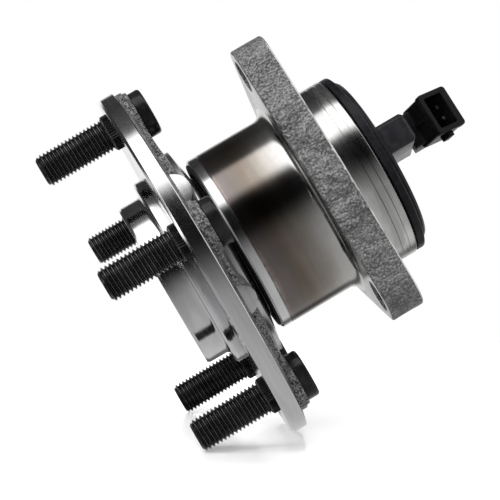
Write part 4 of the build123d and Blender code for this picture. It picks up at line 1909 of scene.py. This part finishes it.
@dataclass
class PlugSocket:
    """Leaning socket with its mouth band, latch ramp, key, rib and foot."""

    finishes: Finishes
    tilt: float = 30.0
    mouth: tuple[float, float, float] = (22.9, 0.0, 102.4)
    width: float = 15.2
    height: float = 12.4
    length: float = 12.0
    wall: float = 1.5
    key_wall: float = 2.6
    floor: float = 1.6
    band_rise: float = 0.35
    band_length: float = 2.4
    foot_low: tuple[float, float, float] = (8.0, -6.4, 88.8)
    foot_high: tuple[float, float, float] = (18.5, 6.4, 97.8)

    def lean(self) -> Matrix:
        """Matrix from the socket's own axes (mouth at the origin, Z out of it) to the row frame.

        Returns:
            The matrix, with its shift in metres.
        """
        turn = math.radians(self.tilt)
        out = Vector((math.cos(turn), 0, math.sin(turn)))
        across = Vector((0, 1, 0))
        up = out.cross(across)
        basis = Matrix((across, up, out)).transposed().to_4x4()
        return Matrix.Translation(Vector(self.mouth) * MM) @ basis

    def moulding(
        self, low: tuple[float, float, float], high: tuple[float, float, float]
    ) -> bpy.types.Object:
        """Eased box in the socket's own axes.

        Args:
            low: corner with the lowest coordinates.
            high: opposite corner.

        Returns:
            The box.
        """
        obj = Bench.brick("moulding", Vector(low), Vector(high))
        Bench.bevel(obj, 0.25, 2)
        return obj

    def shell(self) -> bpy.types.Object:
        """Outer shell with its cavity cut out.

        Returns:
            The shell, in the socket's own axes.
        """
        def closed_end(edge: bmesh.types.BMEdge) -> bool:
            """True for a level edge away from the mouth."""
            return level(edge) and edge.verts[0].co.z < -MM

        half_w, half_h = self.width / 2, self.height / 2
        low = Vector((-half_w, -half_h, -self.length))
        body = Bench.brick("plug_socket", low, Vector((half_w, half_h, 0)))
        Bench.bevel(body, 1.2, 4, upright)
        Bench.bevel(body, 0.25, 2, closed_end)
        band_w, band_h = half_w + self.band_rise, half_h + self.band_rise
        low = Vector((-band_w, -band_h, -self.band_length))
        band = Bench.brick("band", low, Vector((band_w, band_h, 0)))
        Bench.bevel(band, 1.3, 4, upright)
        Bench.bevel(band, 0.22, 2, level)
        Bench.combine(body, [band], "UNION")
        low = Vector((-half_w + self.wall, -half_h + self.wall, -self.length + self.floor))
        cavity = Bench.brick("cavity", low, Vector((half_w - self.wall, half_h - self.key_wall, 4.0)))
        Bench.bevel(cavity, 0.65, 3, upright)
        Bench.combine(body, [cavity], "DIFFERENCE")
        return body

    def build(self) -> None:
        """Assemble the socket and hand it over."""
        half_w, half_h = self.width / 2, self.height / 2
        shell = self.shell()
        latch = self.moulding((-2.5, half_h - 0.6, -6.0), (2.5, half_h + 1.0, -3.0))
        key = self.moulding((half_w - 0.6, -1.4, -7.0), (half_w + 1.9, 1.4, -2.6))
        rib = self.moulding((-0.6, -half_h - 0.7, -9.25), (0.6, -half_h + 0.4, -3.8))
        Bench.join(shell, [latch, key, rib])
        shell.data.transform(self.lean())
        foot = Bench.brick("foot", Vector(self.foot_low), Vector(self.foot_high))
        Bench.bevel(foot, 0.4, 2)
        Bench.join(shell, [foot])
        dress(shell, [self.finishes.socket])
        Bench.smooth(shell, 25.0)
        place_piece(shell, Body.OUTER, Slot.SOCKET, ["connector_shell"])


@dataclass
class InnerPieces:
    """CAD nodes that keep their shape and get a finish."""

    finishes: Finishes

    def build(self) -> None:
        """Give each carried-over node its finish."""
        f = self.finishes
        # The seal slinger and the front seal case take the black oxide as painted shade, so that the gap
        # between the hub and the outer ring reads dark.
        table = {
            "inner_ring": f.race, "seal_slinger": f.oxide, "encoder_carrier": f.stainless,
            "encoder_magnet": f.magnet, "front_balls": f.ball, "rear_balls": f.ball,
            "front_cage": f.cage, "rear_cage": f.cage, "front_seal_case": f.oxide,
            "cap_sleeve": f.stainless, "cap_oring": f.rubber, "sensor_chip": f.chip,
            "terminal_1": f.terminal, "terminal_2": f.terminal,
        }
        for name, finish in table.items():
            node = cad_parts[name]
            node.data.materials.clear()
            node.data.materials.append(finish)
            LOG.info("%s: finish %s", name, finish.name)


# The studio


@dataclass
class Studio:
    """Floor, surround, lamps and camera, in the photograph's own frame."""

    azimuth: float = 9.3
    dip: float = 3.2
    shift_along: float = 20.5
    shift_across: float = 4.55
    distance: float = 599.0
    lens: float = 119.4
    roll_cos: float = 0.861
    roll_sin: float = 0.508
    lean: float = 29.94
    contact_angle: float = 108.0
    floor_glow: float = 0.32
    floor_gloss: float = 0.5
    sheet_gap: float = 0.05
    cards: tuple[tuple[float, float], ...] = (
        (-156, 0.70), (-150, 0.05), (-122, 0.05), (-98, 0.12), (-90, 0.2), (-84, 2.5), (-52, 2.5),
        (-42, 0.08), (-36, 0.005), (-12, 0.008), (-3, 0.05), (8, 0.20), (22, 0.40), (50, 0.56), (90, 0.68),
        (113, 0.72), (121, 0.14), (134, 0.14), (148, 0.8),
    )

    def __post_init__(self) -> None:
        """Work out the view's directions."""
        near = Vector((math.cos(math.radians(self.azimuth)), math.sin(math.radians(self.azimuth)), 0))
        self.near = near
        self.across = Vector((-near.y, near.x, 0))
        dip = math.radians(self.dip)
        self.along = math.cos(dip) * Vector((0, 0, 1)) + math.sin(dip) * near
        self.toward = math.cos(dip) * near - math.sin(dip) * Vector((0, 0, 1))
        self.right = (self.roll_cos * self.along + self.roll_sin * self.across).normalized()
        self.up = self.toward.cross(self.right)
        self.eye = self.shift_along * self.along + self.shift_across * self.across
        self.eye += self.distance * self.toward
        lean = math.radians(self.lean)
        down = math.cos(lean) * polar(1.0, self.contact_angle) - math.sin(lean) * Vector((0, 0, 1))
        self.down = down

    def floor_depth(self) -> float:
        """Distance of the floor from the origin, in millimetres, where the rim and two studs rest."""
        rim = polar(DISC_R, self.contact_angle) + Vector((0, 0, 0.7))
        return rim.dot(self.down) + 0.15

    def build_camera(self) -> None:
        """Create the camera at the photograph's viewpoint."""
        data = bpy.data.cameras.new("photo_camera")
        data.sensor_width = 36.0
        data.lens = self.lens
        data.clip_start = 0.01
        data.clip_end = 20.0
        camera = bpy.data.objects.new("photo_camera", data)
        turn = Matrix((self.right, self.up, self.toward)).transposed().to_4x4()
        camera.matrix_world = Matrix.Translation(self.eye * MM) @ turn
        bpy.context.scene.collection.objects.link(camera)
        bpy.context.scene.camera = camera

    def build_floor(self) -> None:
        """Pale floor that the part rests on, seen only from above."""
        material, n = blank_material("studio_floor")
        diffuse = n.add("ShaderNodeBsdfDiffuse")
        diffuse.inputs["Color"].default_value = grey(0.82)
        centre = n.add("ShaderNodeVectorMath", operation="DISTANCE")
        n.feed(n.place(), centre.inputs[0])
        centre.inputs[1].default_value = self.down * self.floor_depth() * MM
        far = n.spread(centre.outputs["Value"], 0.10, 0.26)
        near = n.add("ShaderNodeAddShader")
        n.feed(diffuse.outputs[0], near.inputs[0])
        n.feed(n.glow(grey(1.0), self.floor_glow), near.inputs[1])
        gloss = n.add("ShaderNodeBsdfGlossy")
        gloss.inputs["Color"].default_value = grey(1.0)
        gloss.inputs["Roughness"].default_value = 0.16
        sheen = n.layer(self.floor_gloss, near.outputs[0], gloss.outputs[0])
        lit = n.layer(far, sheen, n.glow(grey(1.0)))
        n.surface(n.clear_behind(n.layer(n.looked_at(), diffuse.outputs[0], lit)))
        floor = self.floor_disc("studio_floor", 1.6, 0.0)
        floor.data.materials.append(material)

    def card_material(self, one_sided: bool = False) -> bpy.types.Material:
        """Light of the cards and cloths, by the angle round the spin axis.

        Args:
            one_sided: True for a card that is clear from behind.

        Returns:
            The material.
        """
        material, n = blank_material("studio_cards")
        mapping = n.add("ShaderNodeMapping", vector_type="POINT")
        mapping.inputs["Rotation"].default_value = (0, 0, -math.radians(self.azimuth))
        n.feed(n.place(), mapping.inputs["Vector"])
        x, y, _ = n.axes(mapping.outputs[0])
        share = n.math("MULTIPLY_ADD", n.math("ARCTAN2", y, x), 1 / math.tau, 0.5)
        peak = max(level for _, level in self.cards)
        stops = [((turn + 180) / 360, grey(level / peak)) for turn, level in self.cards]
        glow = n.glow(n.ramp(share, stops), peak)
        n.surface(n.clear_behind(glow) if one_sided else glow)
        return material

    def hang(self, card: bpy.types.Object, material: bpy.types.Material) -> None:
        """Dress a card, hide it from everything but reflections and stage it.

        Args:
            card: card or sheet.
            material: its light.
        """
        card.data.materials.append(material)
        card.visible_camera = False
        card.visible_diffuse = False
        card.visible_shadow = False
        card.visible_transmission = False

    def build_cards(self) -> None:
        """Cards round the spin axis, open towards the backdrop, and a sheet just over the floor that paints
        the floor's reflection with the cards' light and shade.
        """
        material = self.card_material()
        Bench.clear()
        bpy.ops.mesh.primitive_cylinder_add(vertices=180, radius=0.5, depth=1.6, end_fill_type="NOTHING")
        wall = bpy.context.active_object
        wall.name = "studio_cards"
        Bench.edit(wall, "DESELECT")
        bpy.ops.mesh.select_mode(type="FACE")
        mesh = bmesh.from_edit_mesh(wall.data)
        first, last = self.cards[0][0], self.cards[-1][0]
        for face in mesh.faces:
            centre = face.calc_center_median()
            turn = math.degrees(math.atan2(centre.dot(self.across), centre.dot(self.near)))
            face.select = turn < first or turn > last
        bmesh.update_edit_mesh(wall.data)
        bpy.ops.mesh.delete(type="FACE")
        Bench.leave()
        self.hang(wall, material)
        # The sheet is seen only in reflections, where it paints the floor with light and shade by the angle
        # round the spin axis.
        self.hang(self.floor_disc("floor_reflection_sheet", 0.5, self.sheet_gap), self.card_material(True))

    def floor_disc(self, name: str, radius: float, rise: float) -> bpy.types.Object:
        """Disc that lies along the floor or a little above it.

        Args:
            name: name of the disc.
            radius: radius in metres.
            rise: height over the floor in millimetres.

        Returns:
            The disc, facing up.
        """
        Bench.clear()
        bpy.ops.mesh.primitive_circle_add(vertices=96, radius=radius, fill_type="NGON")
        disc = bpy.context.active_object
        disc.name = name
        turn = (-self.down).to_track_quat("Z", "Y").to_matrix().to_4x4()
        foot = self.down * (self.floor_depth() - rise) * MM
        disc.matrix_world = Matrix.Translation(foot) @ turn
        Bench.settle(disc)
        return disc

    def build_world(self) -> None:
        """White world for the camera and reflections, softer as a light."""
        world = bpy.data.worlds.new("studio_world")
        bpy.context.scene.world = world
        world.use_nodes = True
        n = Tree(world.node_tree)
        background = n.add("ShaderNodeBackground")
        n.feed(n.mix(n.looked_at(), grey(0.35), grey(1.0)), background.inputs["Color"])
        background.inputs["Strength"].default_value = 1.0
        n.surface(background.outputs[0], "ShaderNodeOutputWorld")

    def lamp(
        self, name: str, direction: Vector, distance: float, size: tuple[float, float], power: float
    ) -> None:
        """Soft box that faces the part.

        Args:
            name: name of the lamp.
            direction: direction from the part to the lamp.
            distance: distance in metres.
            size: length along the spin axis and width across it, in metres.
            power: power in watts.
        """
        data = bpy.data.lights.new(name, "AREA")
        data.shape = "RECTANGLE"
        data.size, data.size_y = size
        data.energy = power
        lamp = bpy.data.objects.new(name, data)
        out = direction.normalized()
        long_side = (Vector((0, 0, 1)) - out * out.z).normalized()
        turn = Matrix((long_side, out.cross(long_side), out)).transposed().to_4x4()
        centre = Vector((0, 0, 0.03))
        lamp.matrix_world = Matrix.Translation(centre + out * distance) @ turn
        lamp.visible_glossy = False
        bpy.context.scene.collection.objects.link(lamp)

    def build_lamps(self) -> None:
        """Main soft box over the part's left shoulder, a low fill and a lamp behind."""
        def around(angle: float) -> Vector:
            """Direction at an angle from the camera's side round the spin axis."""
            turn = math.radians(angle)
            return math.cos(turn) * self.near + math.sin(turn) * self.across

        self.lamp("key_soft_box", around(-66), 0.9, (1.4, 0.65), 26.0)
        self.lamp("back_soft_box", around(-140), 1.0, (1.2, 0.6), 10.0)
        self.lamp("front_fill", around(-12), 1.1, (0.8, 0.8), 12.0)

    def build(self) -> None:
        """Build the whole studio."""
        self.build_camera()
        self.build_floor()
        self.build_cards()
        self.build_world()
        self.build_lamps()
        bpy.context.scene.view_settings.view_transform = "Standard"


def main() -> None:
    """Build the pieces, dress the carried-over nodes, set the studio and report."""
    logging.basicConfig(level=logging.INFO, format="%(name)s %(message)s")
    finishes = Finishes(Effects())
    assemblies = (
        HubForging, WheelStuds, BearingOuter, FrontSeal, RearCover, SensorBlock, PlugSocket, InnerPieces,
    )
    for assembly in assemblies:
        LOG.info("building %s", assembly.__name__)
        assembly(finishes).build()
    Studio().build()


if __name__ == "__main__":
    main()
